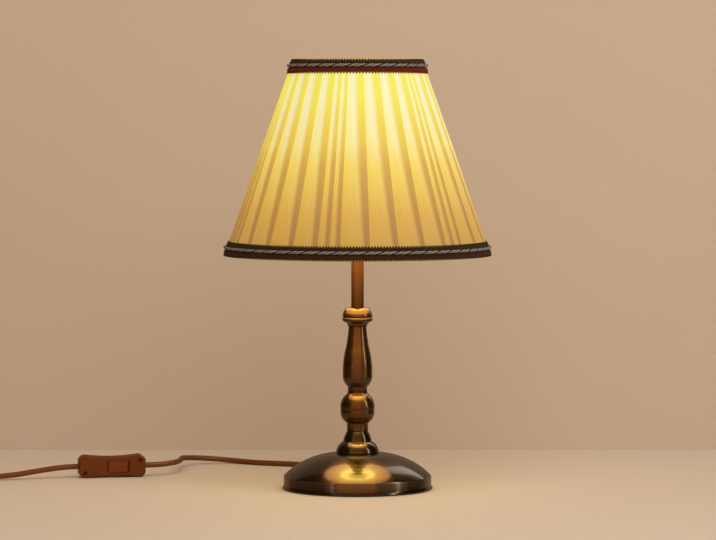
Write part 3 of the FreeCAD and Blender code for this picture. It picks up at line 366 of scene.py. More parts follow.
bulb_low, bulb_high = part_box("bulb_glass")
glow_share = 0.3
glow_height = bulb_low.z + glow_share * (bulb_high.z - bulb_low.z)
soft_lamp("overhead", (0.3, -1.5, 2.0), (2.0, 2.0), brightness=2.35, colour=(1.0, 0.95, 0.88), seen_by="matt")
soft_lamp("window light", (2.2, -1.5, 0.9), (1.0, 1.2), brightness=1.3, colour=(0.72, 0.86, 1.0),
          aim_at=(0, 0, 0.2), seen_by="matt")
soft_lamp("right window", (1.85, -0.82, 1.05), (0.22, 1.7), brightness=3.6, colour=(0.86, 0.95, 1.0))
soft_lamp("left window", (-1.39, -1.71, 0.8), (0.08, 1.7), brightness=1.1, colour=(1.0, 0.80, 0.66))
soft_lamp("warm room", (-0.1, -3.9, 0.7), (4.6, 2.4), brightness=0.45, colour=(1.0, 0.31, 0.07),
          aim_at=(0, 0, 0.3), seen_by="mirrors")
soft_lamp("daylight on the wall", (0.28, 0.345, 0.33), (0.14, 0.46), brightness=1.3,
          colour=(0.92, 0.95, 0.88), aim_at=(0.05, -0.05, 0.03), seen_by="mirrors")
bulb_glow = soft_lamp("bulb glow", (0, 0, glow_height), (0.2, 0.2), brightness=3.0,
                      colour=(1.0, 0.92, 0.14), aim_at=(0, 0, 0), seen_by="mirrors")
bulb_glow.data.shape = "DISK"
print(len(bpy.data.lights), "lamps, the bulb's at", round(glow_height, 3), "m")

# %% Dark cards
card_top = 1.1
card_finish = new_finish("dark card", {"Base Color": (0.05, 0.04, 0.025, 1), "Roughness": 0.9})[0]
card_ends = {"card_left": ((-0.62, -0.55), (-0.46, 0.36)), "card_right": ((0.5, -0.1), (0.46, 0.36))}
for name, (first, last) in card_ends.items():
    card = mesh_piece(name, [(*first, 0), (*last, 0), (*last, card_top), (*first, card_top)], quad)
    card.data.materials.append(card_finish)
    for ray in ("camera", "diffuse", "shadow", "transmission"):
        setattr(card, "visible_" + ray, False)
print("cards", list(card_ends))

# %% [markdown]
# Finishes. Four effects return on more than one material, so each is a node group with named
# inputs: patina is the slow clouding and the specks of aged metal and glass, turned lines are
# the rings that a lathe tool leaves along an outline, threads are a plain weave, and grain is
# the fine skin of castings, felt, yarn and mouldings. The groups give only masks and heights.
# The shader with its fixed numbers stays in each material.


# %% The four shared effects
def new_group(name, inputs, outputs):
    """A node group; returns it with its inner inputs and outputs."""
    group = bpy.data.node_groups.new(name, "ShaderNodeTree")
    sockets = group.interface
    for label, value in inputs.items():
        sockets.new_socket(label, in_out="INPUT", socket_type="NodeSocketFloat").default_value = value
    for label in outputs:
        sockets.new_socket(label, in_out="OUTPUT", socket_type="NodeSocketFloat")
    return group, group.nodes.new("NodeGroupInput").outputs, group.nodes.new("NodeGroupOutput").inputs


def use_group(tree, group, **values):
    """Place a group in a material; an underscore stands for the space in an input's name."""
    feeds = {key.replace("_", " "): value for key, value in values.items()}
    return put(tree, "ShaderNodeGroup", feeds, node_tree=group).outputs


patina, given, result = new_group("patina", {"Cloud size": 30.0, "Speck size": 400.0}, ["Cloud", "Specks"])
place = object_place(patina)
cloud = noise(patina, place, given["Cloud size"], 5.0)
speck = noise(patina, place, given["Speck size"], 2.0)
patina.links.new(rescaled(patina, cloud, 0.32, 0.68), result["Cloud"])
patina.links.new(rescaled(patina, speck, 0.6, 0.75), result["Specks"])

turned_lines, given, result = new_group("turned lines", {"Along": 0.0, "Lines per metre": 2500.0},
                                        ["Height", "Tone"])
slow_lines = calc(turned_lines, "MULTIPLY", given["Lines per metre"], 0.14)
for lines, detail, label in ((given["Lines per metre"], 3.0, "Height"), (slow_lines, 2.0, "Tone")):
    rings = put(turned_lines, "ShaderNodeTexNoise", {"W": given["Along"], "Scale": lines, "Detail": detail},
                noise_dimensions="1D")
    turned_lines.links.new(rings.outputs["Fac"], result[label])

threads, given, result = new_group("threads", {"Across": 0.0, "Up": 0.0, "Threads per metre": 2800.0},
                                   ["Height", "Tone"])
waves = []
for label in ("Across", "Up"):
    turn = calc(threads, "MULTIPLY", given[label], given["Threads per metre"])
    waves.append(calc(threads, "SINE", calc(threads, "MULTIPLY", turn, math.pi)))
weave = calc(threads, "MULTIPLY", waves[0], waves[1])
threads.links.new(calc(threads, "MULTIPLY_ADD", weave, 0.5), result["Height"])
slubs_across = calc(threads, "MULTIPLY", given["Across"], 900.0)
slubs_up = calc(threads, "MULTIPLY", given["Up"], 25.0)
slub_place = put(threads, "ShaderNodeCombineXYZ", {0: slubs_across, 1: slubs_up}).outputs[0]
threads.links.new(noise(threads, slub_place, 1.0, 3.0), result["Tone"])

grain, given, result = new_group("grain", {"Grain size": 2000.0}, ["Height", "Tone"])
place = object_place(grain)
blotch_size = calc(grain, "MULTIPLY", given["Grain size"], 0.03)
grain.links.new(noise(grain, place, given["Grain size"], 3.0), result["Height"])
grain.links.new(noise(grain, place, blotch_size, 3.0), result["Tone"])
print("shared effects", bpy.data.node_groups.keys())


# %% [markdown]
# Most small parts share one recipe: two near colours clouded into each other, a roughness that
# follows the same cloud, and a grain too fine to see from a step away that breaks the gloss.

# %% Simple finishes
def moulded(name, colour, deeper, roughness, grain_size=2500.0, depth=0.03, fixed=None):
    """Plastic, paint, castings and felt: clouded colour, varied gloss, fine skin."""
    finish, tree, shader = new_finish(name, fixed or {})
    skin = use_group(tree, grain, Grain_size=grain_size)
    tree.links.new(mixed(tree, skin["Tone"], colour, deeper), shader["Base Color"])
    gloss = rescaled(tree, skin["Tone"], 0.3, 0.7, roughness * 0.8, roughness * 1.2)
    tree.links.new(gloss, shader["Roughness"])
    add_bump(tree, shader, skin["Height"], 0.5, depth)
    return finish


def drawn_metal(name, colour, deeper, roughness, grain_size, depth=0.03):
    """The same recipe for sheet, wire and screws."""
    return moulded(name, colour, deeper, roughness, grain_size, depth, {"Metallic": 1.0})


brown_cord = moulded("brown cord", (0.195, 0.055, 0.009), (0.155, 0.042, 0.007), 0.34, 900.0, 0.02)
brown_switch = moulded("brown switch", (0.165, 0.036, 0.004), (0.125, 0.026, 0.003), 0.26, 700.0, 0.02)
brown_rocker = moulded("brown rocker", (0.205, 0.047, 0.007), (0.165, 0.036, 0.005), 0.2, 700.0, 0.015)
cast_iron = moulded("cast iron", (0.10, 0.095, 0.09), (0.06, 0.055, 0.05), 0.7, 1200.0, 0.3)
black_paint = moulded("black paint", (0.03, 0.03, 0.03), (0.02, 0.02, 0.02), 0.4)
felt = moulded("felt", (0.03, 0.055, 0.04), (0.018, 0.035, 0.025), 0.95, 3500.0, 0.25, {"Sheen Weight": 0.4})
zinc = drawn_metal("zinc plate", (0.62, 0.61, 0.58), (0.5, 0.49, 0.47), 0.32, 1500.0)
dark_screw = drawn_metal("browned steel", (0.16, 0.085, 0.045), (0.10, 0.05, 0.028), 0.42, 1500.0)
contact_brass = drawn_metal("contact brass", (0.78, 0.56, 0.24), (0.66, 0.45, 0.18), 0.3, 1200.0)
pin_metal = drawn_metal("pin metal", (0.72, 0.71, 0.7), (0.62, 0.61, 0.6), 0.18, 1200.0, 0.02)
cap_metal = drawn_metal("bulb cap", (0.7, 0.69, 0.66), (0.58, 0.57, 0.54), 0.28, 900.0)
holder_white = moulded("holder plastic", (0.80, 0.77, 0.70), (0.74, 0.70, 0.62), 0.4)
wire_brown = moulded("wire sleeve", (0.25, 0.10, 0.04), (0.20, 0.08, 0.03), 0.45)
wire_white = moulded("coated wire", (0.78, 0.75, 0.68), (0.70, 0.66, 0.58), 0.38, 1500.0, 0.05)
black_strap = moulded("black strap", (0.02, 0.02, 0.02), (0.03, 0.03, 0.03), 0.55)
print("finishes so far", len(bpy.data.materials))

# %% [markdown]
# The brass is antiqued: darkened all over, then brushed on the lathe so that fine rings show,
# then lacquered. The brushing runs round each piece, so a reflection is drawn out up and down,
# across the rings. Anisotropic shading does that, with a tangent that runs round the axis, and
# the thin clear coat keeps a sharper image on top, such as the stem's in the foot.


# %% Antique brass
def antique(name, ring_dark, ring_light, cloud_colour, glossiest, dullest, coat=0.9):
    """Darkened brass with turned rings, clouds of age, dark wax and painted shade at seams and joints, a
    painted highlight at the rim's rubbed edge and a thin lacquer.
    """
    fixed = {"Metallic": 1.0, "Anisotropic": 0.8, "Anisotropic Rotation": 0.25, "Coat Weight": coat,
             "Coat Roughness": 0.06, "Coat IOR": 1.5}
    finish, tree, shader = new_finish(name, fixed)
    rings = use_group(tree, turned_lines, Along=stored(tree, "along"), Lines_per_metre=2600.0)
    age = use_group(tree, patina, Cloud_size=26.0, Speck_size=420.0)
    colour = mixed(tree, rings["Tone"], ring_dark, ring_light)
    # Tints: the light one is a painted highlight on the rim's rubbed edge; the dark one is wax in the foot's
    # seam and painted shade at the stem's joints.
    for mask, strength, tint in ((age["Cloud"], 0.35, cloud_colour),
                                 (stored(tree, "polish_and_highlight"), 0.8, (0.80, 0.60, 0.36)),
                                 (stored(tree, "wax_and_joint_shade"), 0.7, (0.05, 0.024, 0.012)),
                                 (age["Specks"], 0.4, (0.08, 0.038, 0.016))):
        colour = mixed(tree, calc(tree, "MULTIPLY", mask, strength), colour, tint)
    tree.links.new(colour, shader["Base Color"])
    tree.links.new(rescaled(tree, rings["Height"], 0.25, 0.75, glossiest, dullest), shader["Roughness"])
    add_bump(tree, shader, rings["Height"], 0.35, 0.02)
    ring_way = put(tree, "ShaderNodeTangent", direction_type="RADIAL", axis="Z")
    tree.links.new(ring_way.outputs[0], shader["Tangent"])
    return finish


brass = antique("antique brass", (0.205, 0.093, 0.024), (0.315, 0.148, 0.036), (0.13, 0.057, 0.017),
                0.24, 0.34)
dark_brass = antique("dark brass", (0.125, 0.067, 0.027), (0.185, 0.101, 0.038), (0.078, 0.040, 0.018),
                     0.2, 0.28)
satin_brass = antique("satin brass", (0.20, 0.082, 0.033), (0.28, 0.118, 0.048), (0.15, 0.06, 0.025),
                      0.4, 0.5, coat=0.15)
print("finished", brass.name, dark_brass.name, satin_brass.name)


# %% [markdown]
# Every stem piece is turned on a lathe, so each is an outline spun about the axis. The outlines
# are shares of the node's own width and height, which the frame gives, so that each piece fills
# exactly the place of its solid. Two numbers are a corner, four are an arc through a point.
# Corners get a small easing, since a perfectly sharp metal edge never catches a line of light.

# %% Outline helpers
def arc_through(start, middle, end, count=14):
    """Points on the circle through three points, without the first."""
    (ax, ay), (bx, by), (cx, cy) = start, middle, end
    a, b, c = ax ** 2 + ay ** 2, bx ** 2 + by ** 2, cx ** 2 + cy ** 2
    d = 2 * (ax * (by - cy) + bx * (cy - ay) + cx * (ay - by))
    ux = (a * (by - cy) + b * (cy - ay) + c * (ay - by)) / d
    uy = (a * (cx - bx) + b * (ax - cx) + c * (bx - ax)) / d
    radius = math.hypot(ax - ux, ay - uy)
    first, half_way, last = (math.atan2(y - uy, x - ux) for x, y in (start, middle, end))
    sweep = (last - first) % (2 * math.pi)
    if (half_way - first) % (2 * math.pi) > sweep:
        sweep -= 2 * math.pi
    angles = [first + sweep * i / count for i in range(1, count + 1)]
    return [(ux + radius * math.cos(angle), uy + radius * math.sin(angle)) for angle in angles]


def drawn(steps):
    """Points of an outline given as corners and arcs."""
    points = [tuple(steps[0])]
    for step in steps[1:]:
        points += arc_through(points[-1], step[:2], step[2:]) if len(step) == 4 else [tuple(step)]
    return points


def placed(steps, radius, low, height):
    """Steps given as shares of a radius and a height, in metres."""
    return [tuple(low + share * height if i % 2 else share * radius for i, share in enumerate(step))
            for step in steps]


def eased(points, size, sharpest_degrees=22, longest_share=0.45):
    """Replace each corner of a closed outline by a small curve."""
    line = [Vector(p) for p in points]
    made = []
    for i, corner in enumerate(line):
        before, after = line[i - 1] - corner, line[(i + 1) % len(line)] - corner
        if math.degrees(math.pi - before.angle(after, 0)) < sharpest_degrees:
            made.append(corner)
            continue
        start = corner + before.normalized() * min(size, before.length * longest_share)
        end = corner + after.normalized() * min(size, after.length * longest_share)
        made += [start, (start + corner * 2 + end) / 4, end]
    return made


# %% Turning helpers
def spun(name, line, sides=180, wax_and_joint_shade=None, polish_and_highlight=None):
    """Spin a closed outline of (radius, height) points about the lamp's axis."""
    line = np.array([tuple(p) for p in line])
    lengths = np.hypot(*np.diff(line, axis=0, append=line[:1]).T)
    along = np.concatenate([[0], np.cumsum(lengths)[:-1]])
    angles = all_round(sides)
    points = np.stack([np.outer(line[:, 0], np.cos(angles)), np.outer(line[:, 0], np.sin(angles)),
                       np.repeat(line[:, 1:], sides, axis=1)], axis=-1)
    values = {"along": np.repeat(along, sides)}
    for label, rule in (("wax_and_joint_shade", wax_and_joint_shade), ("polish_and_highlight", polish_and_highlight)):
        if rule:
            values[label] = np.repeat([rule(r, z) for r, z in line], sides)
    return mesh_piece(name, points, grid_faces(len(line), sides, True, True), values=values)


def node_size(node):
    """A round node's radius, its foot and its height."""
    low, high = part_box(node)
    return high.x, low.z, high.z - low.z


rod_hole = 5.1 * mm
edge_ease = 0.22 * mm
joint_shadow = 1.6 * mm


def turned(node, name, shares, finish=brass):
    """A stem piece: shares of its radius and height, with the hole for the rod."""
    radius, low, height = node_size(node)
    outline = eased(drawn(placed(shares, radius, low, height)), edge_ease)
    outline += [Vector((rod_hole, low + height)), Vector((rod_hole, low))]

    # Painted shade: each piece is darkened within joint_shadow of its joints with its neighbours.
    def painted_joint_shade(r, z):
        return max(0, 1 - min(z - low, low + height - z) / joint_shadow) * (r > rod_hole * 1.1)

    return dress(spun(name, outline, wax_and_joint_shade=painted_joint_shade), "lamp", [finish], [node])


# %% Stem pieces
stem = [
    turned("foot_bell", "bell", [
        (0.985, 0), (1.0, 0.055), (0.94, 0.25, 0.735, 0.48), (0.685, 0.51), (0.665, 0.548),
        (0.605, 0.754, 0.485, 0.98), (0.482, 1)], dark_brass),
    turned("ball_spindle", "ball", [
        (0.63, 0), (0.625, 0.09, 0.64, 0.195), (0.905, 0.315, 1.0, 0.53), (0.937, 0.77, 0.64, 0.93),
        (0.59, 0.95), (0.585, 1)]),
    turned("vase_column", "vase", [
        (0.64, 0), (0.655, 0.07), (0.93, 0.155, 1.0, 0.26), (0.965, 0.46, 0.79, 0.67),
        (0.67, 0.84, 0.605, 0.985), (0.6, 1)]),
    turned("collar_cup", "cup", [
        (0.63, 0), (0.64, 0.07), (0.68, 0.26, 0.77, 0.44), (0.94, 0.55), (1.0, 0.76, 0.965, 0.94),
        (0.94, 1)]),
    turned("collar_cap", "cap", [
        (0.985, 0), (1.0, 0.07), (0.985, 0.34, 0.93, 0.57), (0.87, 0.75, 0.79, 0.89),
        (0.68, 0.975), (0.5, 1)]),
    turned("upper_tube", "tube", [(1, 0), (1, 0.5), (1, 1)], satin_brass),
]
print("stem", {piece.name: len(piece.data.vertices) for piece in stem})

# %% [markdown]
# The foot is spun from sheet: a low dome, a crisp turn into an upright rim and a small bead at
# the lower edge. The dome's line is three arcs between a few shares of its width and rise, each
# picking up where the last ends, so that a reflection runs over it without a kink. A point of
# the rim and bead is a radius and a height that the foot has anyway, each with a small step from
# it in millimetres.

# %% Foot
bead_radius, foot_low, foot_height = node_size("base_shell")
foot_top = foot_low + foot_height
rim_radius, rim_top, sheet = 74.0 * mm, foot_low + 12.7 * mm, 1.2 * mm
bead_top, bead_middle = foot_low + 2.4 * mm, foot_low + 1.2 * mm
rim_turn = 0.5 * mm
seam_width, edge_width = 0.8 * mm, 0.75 * mm
dome_rise = foot_top - rim_top
dome_shares = [(0.27, 1.0), (0.41, 0.965, 0.545, 0.87), (0.69, 0.70, 0.816, 0.485)]
last_arc_share = (0.91, 0.27)
edge_steps = [(rim_radius, -0.12, rim_top, 0.1), (rim_radius, 0, rim_top, -0.5),
              (rim_radius, 0, bead_top, 1.6), (rim_radius, 0.25, bead_top, 0.4),
              (bead_radius, -0.3, bead_top, -0.6), (bead_radius, 0, bead_middle, 0),
              (bead_radius, -0.2, foot_low, 0.3), (bead_radius, -0.7, foot_low, 0),
              (rim_radius - sheet, 0, foot_low, 0), (rim_radius - sheet, 0, rim_top, -0.9)]

dome = drawn(placed(dome_shares, rim_radius, rim_top, dome_rise))
dome += arc_through(dome[-1], *placed([last_arc_share], rim_radius, rim_top, dome_rise),
                    (rim_radius - rim_turn, rim_top + rim_turn))
dome = [Vector(p) for p in dome]
foot_line = [Vector((rod_hole, foot_top))] + dome
foot_line += [Vector((radius + out * mm, height + up * mm)) for radius, out, height, up in edge_steps]
foot_line += [p - Vector((0.45 * sheet, sheet)) for p in reversed(dome[1:-2])]
foot_line += [Vector((rod_hole, foot_top - sheet))]


def foot_dark(r, z):
    """Dark wax stays in the seam above the bead."""
    return max(0, 1 - abs(z - bead_top) / seam_width) * (r > rim_radius - rim_turn)


def foot_highlight(r, z):
    """A painted highlight along the edge of the rim, which polish also keeps bright."""
    return max(0, 1 - math.hypot(r - rim_radius, z - rim_top) / edge_width)


foot = dress(spun("foot", foot_line, sides=288, wax_and_joint_shade=foot_dark, polish_and_highlight=foot_highlight), "lamp",
             [dark_brass], ["base_shell"])
print("foot", len(foot.data.vertices), "points")

# %% [markdown]
# The shade is one strip of cloth laid in knife pleats: at each fold edge it turns back under
# itself, then forward again, so that light passes one layer between the pleats and three where
# they overlap. The overlap is narrow at the bottom and wide at the top, which is how a straight
# strip is made to fit a cone. It is modelled as that one folded strip, with every layer there,
# and carries values for its finish: how many layers lie here, where across the pleat a point is,
# how high up it is, and where it lies on the cloth's own threads.

# %% Shade: its folds
shade_low, shade_high = (corner.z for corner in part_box("shade_cover"))
low_radius, high_radius = 133.0 * mm, 64.5 * mm
cloth_thickness, layer_step = 0.3 * mm, 0.5 * mm
# Angles are in degrees, and each fold is placed by its share of a panel.
panels, first_fold = 6, -7.5
fold_shares = [0.0, 0.21, 0.423, 0.636, 0.826, 0.918]
wide_share, low_overlap, high_overlap = 0.213, 0.16, 0.62
fade_before, fade_after = 0.28, 0.4
fold_out, fold_gap, strip_end = 0.012, 0.01, 0.97
panel = 360 / panels
folds = [first_fold + (i + share) * panel for i in range(panels) for share in fold_shares]
folds.append(folds[0] + 360)
pleats = len(folds) - 1


def cloth_radius(height):
    """The cone's radius at a height."""
    share = (height - shade_low) / (shade_high - shade_low)
    return low_radius + (high_radius - low_radius) * share


def pleat_stations(share_from_foot, start, end):
    """Across one pleat at one height: place along it, depth in layers, and layers that lie there."""
    pitch = end - start
    foot_tuck = min(low_overlap * wide_share * panel, high_overlap * pitch)
    head_tuck = min(high_overlap * wide_share * panel, high_overlap * pitch)
    tuck = 1 - (foot_tuck + (head_tuck - foot_tuck) * share_from_foot) / pitch
    band = 1 - tuck
    single = np.linspace(0, tuck - fade_after * band, 6)
    fade = np.linspace(tuck - fade_before * band, tuck + fade_after * band, 6)
    seen = np.concatenate([single, fade, np.linspace(tuck + 0.6 * band, 1, 3)])
    soft = np.clip((seen - tuck + fade_before * band) / ((fade_before + fade_after) * band), 0, 1)
    stations = [(u, 2 * (1 - u), f * f * (3 - 2 * f)) for u, f in zip(seen, soft)]
    stations.append((1 + fold_out, 0.5, 1.0))
    stations += [(u, 2 * (1 - u) + 1, 1.0) for u in np.linspace(1 - fold_gap, tuck + fold_gap, 3)]
    stations.append((tuck - fold_out, 2 * (1 - tuck) + 1.5, 1.0))
    stations += [(u, 2 * (1 - u) + 2, 1.0) for u in np.linspace(tuck + fold_gap, strip_end, 3)]
    return np.array(stations)


print("shade of", pleats, "pleats")

# %% [markdown]
# Pressed pleats are never quite straight, so every fold sways a little between the two rings,
# and every pleat swells out a little between its folds. Both are drawn by chance, from a fixed
# seed so that each run gives the same shade.

# %% Shade: the folded strip
cloth_rows = 49
heights = np.linspace(0, 1, cloth_rows)
chance = np.random.RandomState(11)
sway = chance.uniform(-0.16, 0.16, (len(folds), 2))
swell = chance.uniform(0.1, 0.45, len(folds)) * mm


def swayed_folds(share):
    """The folds' angles at a height; the last fold is the first one again."""
    once, twice = math.sin(math.pi * share), math.sin(2 * math.pi * share)
    return [fold + sway[i % pleats, 0] * once + sway[i % pleats, 1] * twice for i, fold in enumerate(folds)]


points, layers_here, across_here = [], [], []
for share in heights:
    height = shade_low + share * (shade_high - shade_low)
    moved = swayed_folds(share)
    for i, (start, end) in enumerate(zip(moved, moved[1:])):
        across, depth, layers = pleat_stations(share, start, end).T
        angle = np.radians(start + across * (end - start))
        bulge = swell[i] * np.sin(np.pi * np.clip(across, 0, 1)) * math.sin(math.pi * share)
        radius = cloth_radius(height) - cloth_thickness / 2 - depth * layer_step + bulge
        row = [radius * np.sin(angle), -radius * np.cos(angle), np.full(len(angle), height)]
        points.append(np.stack(row, -1))
        layers_here.append(layers)
        across_here.append(across)
points = np.concatenate(points)
stations = len(points) // cloth_rows
grid = points.reshape(cloth_rows, stations, 3)
steps_across = np.linalg.norm(np.roll(grid, -1, axis=1) - grid, axis=2)
thread_across = np.concatenate([[0], np.cumsum(steps_across[cloth_rows // 2])[:-1]])
slant = math.hypot(low_radius - high_radius, shade_high - shade_low)
values = {"layers": np.concatenate(layers_here), "across": np.concatenate(across_here),
          "height_share": np.repeat(heights, stations), "thread_across": np.tile(thread_across, cloth_rows),
          "thread_up": np.repeat(heights * slant, stations)}
cloth = mesh_piece("pleated_cloth", points, grid_faces(cloth_rows, stations, wrap_columns=True), 60, values)
thicken = cloth.modifiers.new("two faces", "SOLIDIFY")
thicken.thickness = cloth_thickness
thicken.offset = 0
thicken.material_offset = 1


# %% [markdown]
# Lit cloth, with its light painted in. The bulb stands high in the shade, so the cloth is almost
# white near the top, turns through yellow to ochre at the foot, and every overlap is deeper in
# colour because the light has crossed it three times. This pattern is painted light: it feeds the
# glow and, mixed with the cloth's own ivory, the base colour too, so about half of what is seen is
# light coming through. Close up, a fine plain weave with thicker threads here and there breaks both
# up. The side that faces the bulb is painted paler, as lit, and glows brighter still where only a
# mirror sees it, because a real shade is far brighter inside than a picture can show.

# %% Lit cloth
# Painted light through one layer and through three, from the foot of the shade to its top.
single_stops = ((0.0, (0.52, 0.27, 0.045)), (0.22, (0.74, 0.42, 0.07)), (0.45, (0.98, 0.74, 0.17)),
                (0.62, (1.03, 0.97, 0.60)), (0.8, (1.05, 1.04, 0.92)), (0.96, (1.05, 1.04, 0.90)),
                (0.985, (0.72, 0.54, 0.25)))
triple_stops = ((0.0, (0.31, 0.125, 0.02)), (0.22, (0.45, 0.215, 0.035)), (0.45, (0.67, 0.38, 0.045)),
                (0.62, (0.92, 0.66, 0.06)), (0.8, (0.98, 0.88, 0.09)), (0.96, (0.98, 0.92, 0.10)),
                (0.985, (0.66, 0.46, 0.18)))
# Ivory is the cloth's own colour; the yellowing and the bulb-lit colour tint its painted light.
yellow_filter, ivory, bulb_lit_colour = (1.0, 0.96, 0.38), (0.78, 0.66, 0.40), (1.0, 0.90, 0.62)


def ramp(tree, share, stops):
    """A colour that follows a value through a few stops."""
    made = put(tree, "ShaderNodeValToRGB", {"Fac": share})
    while len(made.color_ramp.elements) < len(stops):
        made.color_ramp.elements.new(0.5)
    for element, (position, colour) in zip(made.color_ramp.elements, stops):
        element.position, element.color = position, (*colour, 1)
    return made.outputs["Color"]


def lit_cloth(name, base_colour_share, glow, mirror_share, bulb_side_paleness=0.0):
    """Pleated cloth with light behind it: painted light through its layers, as glow and in its base colour.
    """
    fixed = {"Roughness": 0.85, "Sheen Weight": 0.08, "Specular IOR Level": 0.25, "Emission Strength": glow}
    finish, tree, shader = new_finish(name, fixed)
    height = stored(tree, "height_share")
    weave = use_group(tree, threads, Across=stored(tree, "thread_across"), Up=stored(tree, "thread_up"))
    single, triple = ramp(tree, height, single_stops), ramp(tree, height, triple_stops)
    from_fold = calc(tree, "POWER", calc(tree, "SUBTRACT", 1.0, stored(tree, "across")), 1.7)
    # Painted light: through one layer it turns yellower towards the fold where the pleat starts.
    filtered = put(tree, "ShaderNodeVectorMath", {0: single, 1: yellow_filter}, operation="MULTIPLY")
    yellower = mixed(tree, calc(tree, "MULTIPLY", from_fold, 0.9), single, filtered.outputs[0])
    pattern = mixed(tree, stored(tree, "layers"), yellower, triple)
    # Painted light: the side facing the bulb is made paler, as lit.
    if bulb_side_paleness:
        pattern = mixed(tree, bulb_side_paleness, pattern, bulb_lit_colour)
    streaked = scaled(tree, pattern, rescaled(tree, weave["Tone"], 0.2, 0.8, 0.93, 1.06))
    # The base colour is partly painted light, the lit pattern, and partly the cloth's own ivory.
    tree.links.new(scaled(tree, mixed(tree, 0.4, streaked, ivory), base_colour_share), shader["Base Color"])
    lowered = calc(tree, "MULTIPLY", seen_in_mirror(tree), 1 - mirror_share)
    shining = scaled(tree, streaked, calc(tree, "SUBTRACT", 1.0, lowered))
    tree.links.new(shining, shader["Emission Color"])
    add_bump(tree, shader, weave["Height"], 0.35, 0.06)
    return finish


cloth_outside = lit_cloth("lit cloth", base_colour_share=0.42, glow=0.6, mirror_share=1.0)
cloth_inside = lit_cloth("lit cloth, bulb side", base_colour_share=0.42, glow=0.9, mirror_share=4.6, bulb_side_paleness=0.25)
dress(cloth, "shade", [cloth_outside, cloth_inside], ["shade_cover"])
print("cloth", len(cloth.data.vertices), "points")


# %% [markdown]
# The trim is gimp, a braid sewn over both raw edges. Two borders of slanted satin stitches run
# along it, every second stitch ends in a small loop that stands past the edge, and a cord of
# four twisted strands is couched along the middle. Each stitch, loop and strand is a short tube
# on the slope of the shade, made by one rule that is repeated all the way round.

# %% Trim: its rules
slope = math.atan2(low_radius - high_radius, shade_high - shade_low)
trim_off_cloth = 0.05 * mm
off_upright = 1e-4


def on_slope(middle, angle, up_slope, out):
    """Points on the shade's slope: round it, up it from the trim's middle, and out from it."""
    radius = cloth_radius(middle) + trim_off_cloth - up_slope * math.sin(slope) + out * math.cos(slope)
    height = middle + up_slope * math.cos(slope) + out * math.sin(slope)
    return np.stack(np.broadcast_arrays(radius * np.sin(angle), -radius * np.cos(angle), height), axis=-1)


def tubes(paths, radius, sides):
    """Points and faces of tubes along paths of the shape (tubes, points, 3)."""
    ahead = np.gradient(paths, axis=1)
    ahead /= np.linalg.norm(ahead, axis=2, keepdims=True)
    first = np.cross(ahead, np.array([0.0, 0.0, 1.0]) + off_upright)
    first /= np.linalg.norm(first, axis=2, keepdims=True)
    second = np.cross(ahead, first)
    turn = all_round(sides)
    rim = first[:, :, None] * np.cos(turn)[:, None] + second[:, :, None] * np.sin(turn)[:, None]
    points = (paths[:, :, None] + rim * radius).reshape(-1, 3)
    count, length = paths.shape[:2]
    starts = np.arange(count)[:, None, None] * length * sides
    return points, (grid_faces(length, sides, wrap_columns=True) + starts).reshape(-1, 4)


def joined(name, parts, label):
    """One piece from parts, each with its points, its faces and a tone."""
    points, faces, tones = zip(*parts)
    starts = np.cumsum([0] + [len(part) for part in points])
    faces = [part + start for part, start in zip(faces, starts)]
    tones = [np.full(len(part), tone) for part, tone in zip(points, tones)]
    return mesh_piece(name, np.concatenate(points), np.concatenate(faces), 60, {label: np.concatenate(tones)})


# %% Trim: band, stitches and loops
band_steps = 360
band_section = np.array([(-0.96, 0.0), (-1.0, 0.3), (-0.9, 0.62), (-0.3, 0.7), (0.3, 0.7), (0.9, 0.62),
                         (1.0, 0.3), (0.96, 0.0)])
band_width_share = 0.9
stitch_pitch, stitch_lean, stitch_radius = 1.5 * mm, 2.2 * mm, 0.5 * mm
stitch_points, stitch_sides = 6, 6
loop_width, loop_height, loop_lift, loop_radius = 0.55 * mm, 0.9 * mm, 0.45 * mm, 0.58 * mm
loop_points, loop_sides = 8, 5


def gimp_band(name, middle, half_width):
    """The woven band, with a border of stitches and loops along each edge."""
    radius_here = cloth_radius(middle)
    band_up, band_out = band_section[:, 0] * half_width, band_section[:, 1] * mm
    band = on_slope(middle, all_round(band_steps)[:, None], band_up, band_out)
    parts = [(band.reshape(-1, 3), grid_faces(band_steps, len(band_section), True, True), 0.0)]
    stitches = int(2 * math.pi * radius_here / stitch_pitch) // 2 * 2
    start = np.arange(stitches)[:, None] * 2 * math.pi / stitches
    run = np.linspace(0, 1, stitch_points)
    lean = run * stitch_lean / radius_here
    out = (0.55 + 0.5 * np.sin(math.pi * (0.1 + 0.8 * run))) * mm
    turn = np.linspace(-0.25 * math.pi, 1.25 * math.pi, loop_points)
    loop_round = np.cos(turn) * loop_width / radius_here
    # A stitch runs from 0.28 to 0.9 of the half width, and a loop stands at its outer end.
    for side, tone in ((1, 0.0), (-1, 1.0)):
        paths = on_slope(middle, start + lean, side * (0.28 + 0.62 * run) * half_width, out)
        parts.append((*tubes(paths, stitch_radius, stitch_sides), tone))
        loop_up = side * (half_width * 0.93 + (0.7 + np.sin(turn)) * loop_height)
        paths = on_slope(middle, start[::2] + lean[-1] + loop_round, loop_up, loop_lift)
        parts.append((*tubes(paths, loop_radius, loop_sides), tone))
    return joined(name, parts, "border")


# %% Trim: twisted cord
strand_count, strand_sides, lay = 4, 7, 15 * mm
samples_per_twist = 18
strand_radius, twist_radius = 0.68 * mm, 0.85 * mm
twist_up, twist_out = 0.4 * mm, 2.0 * mm


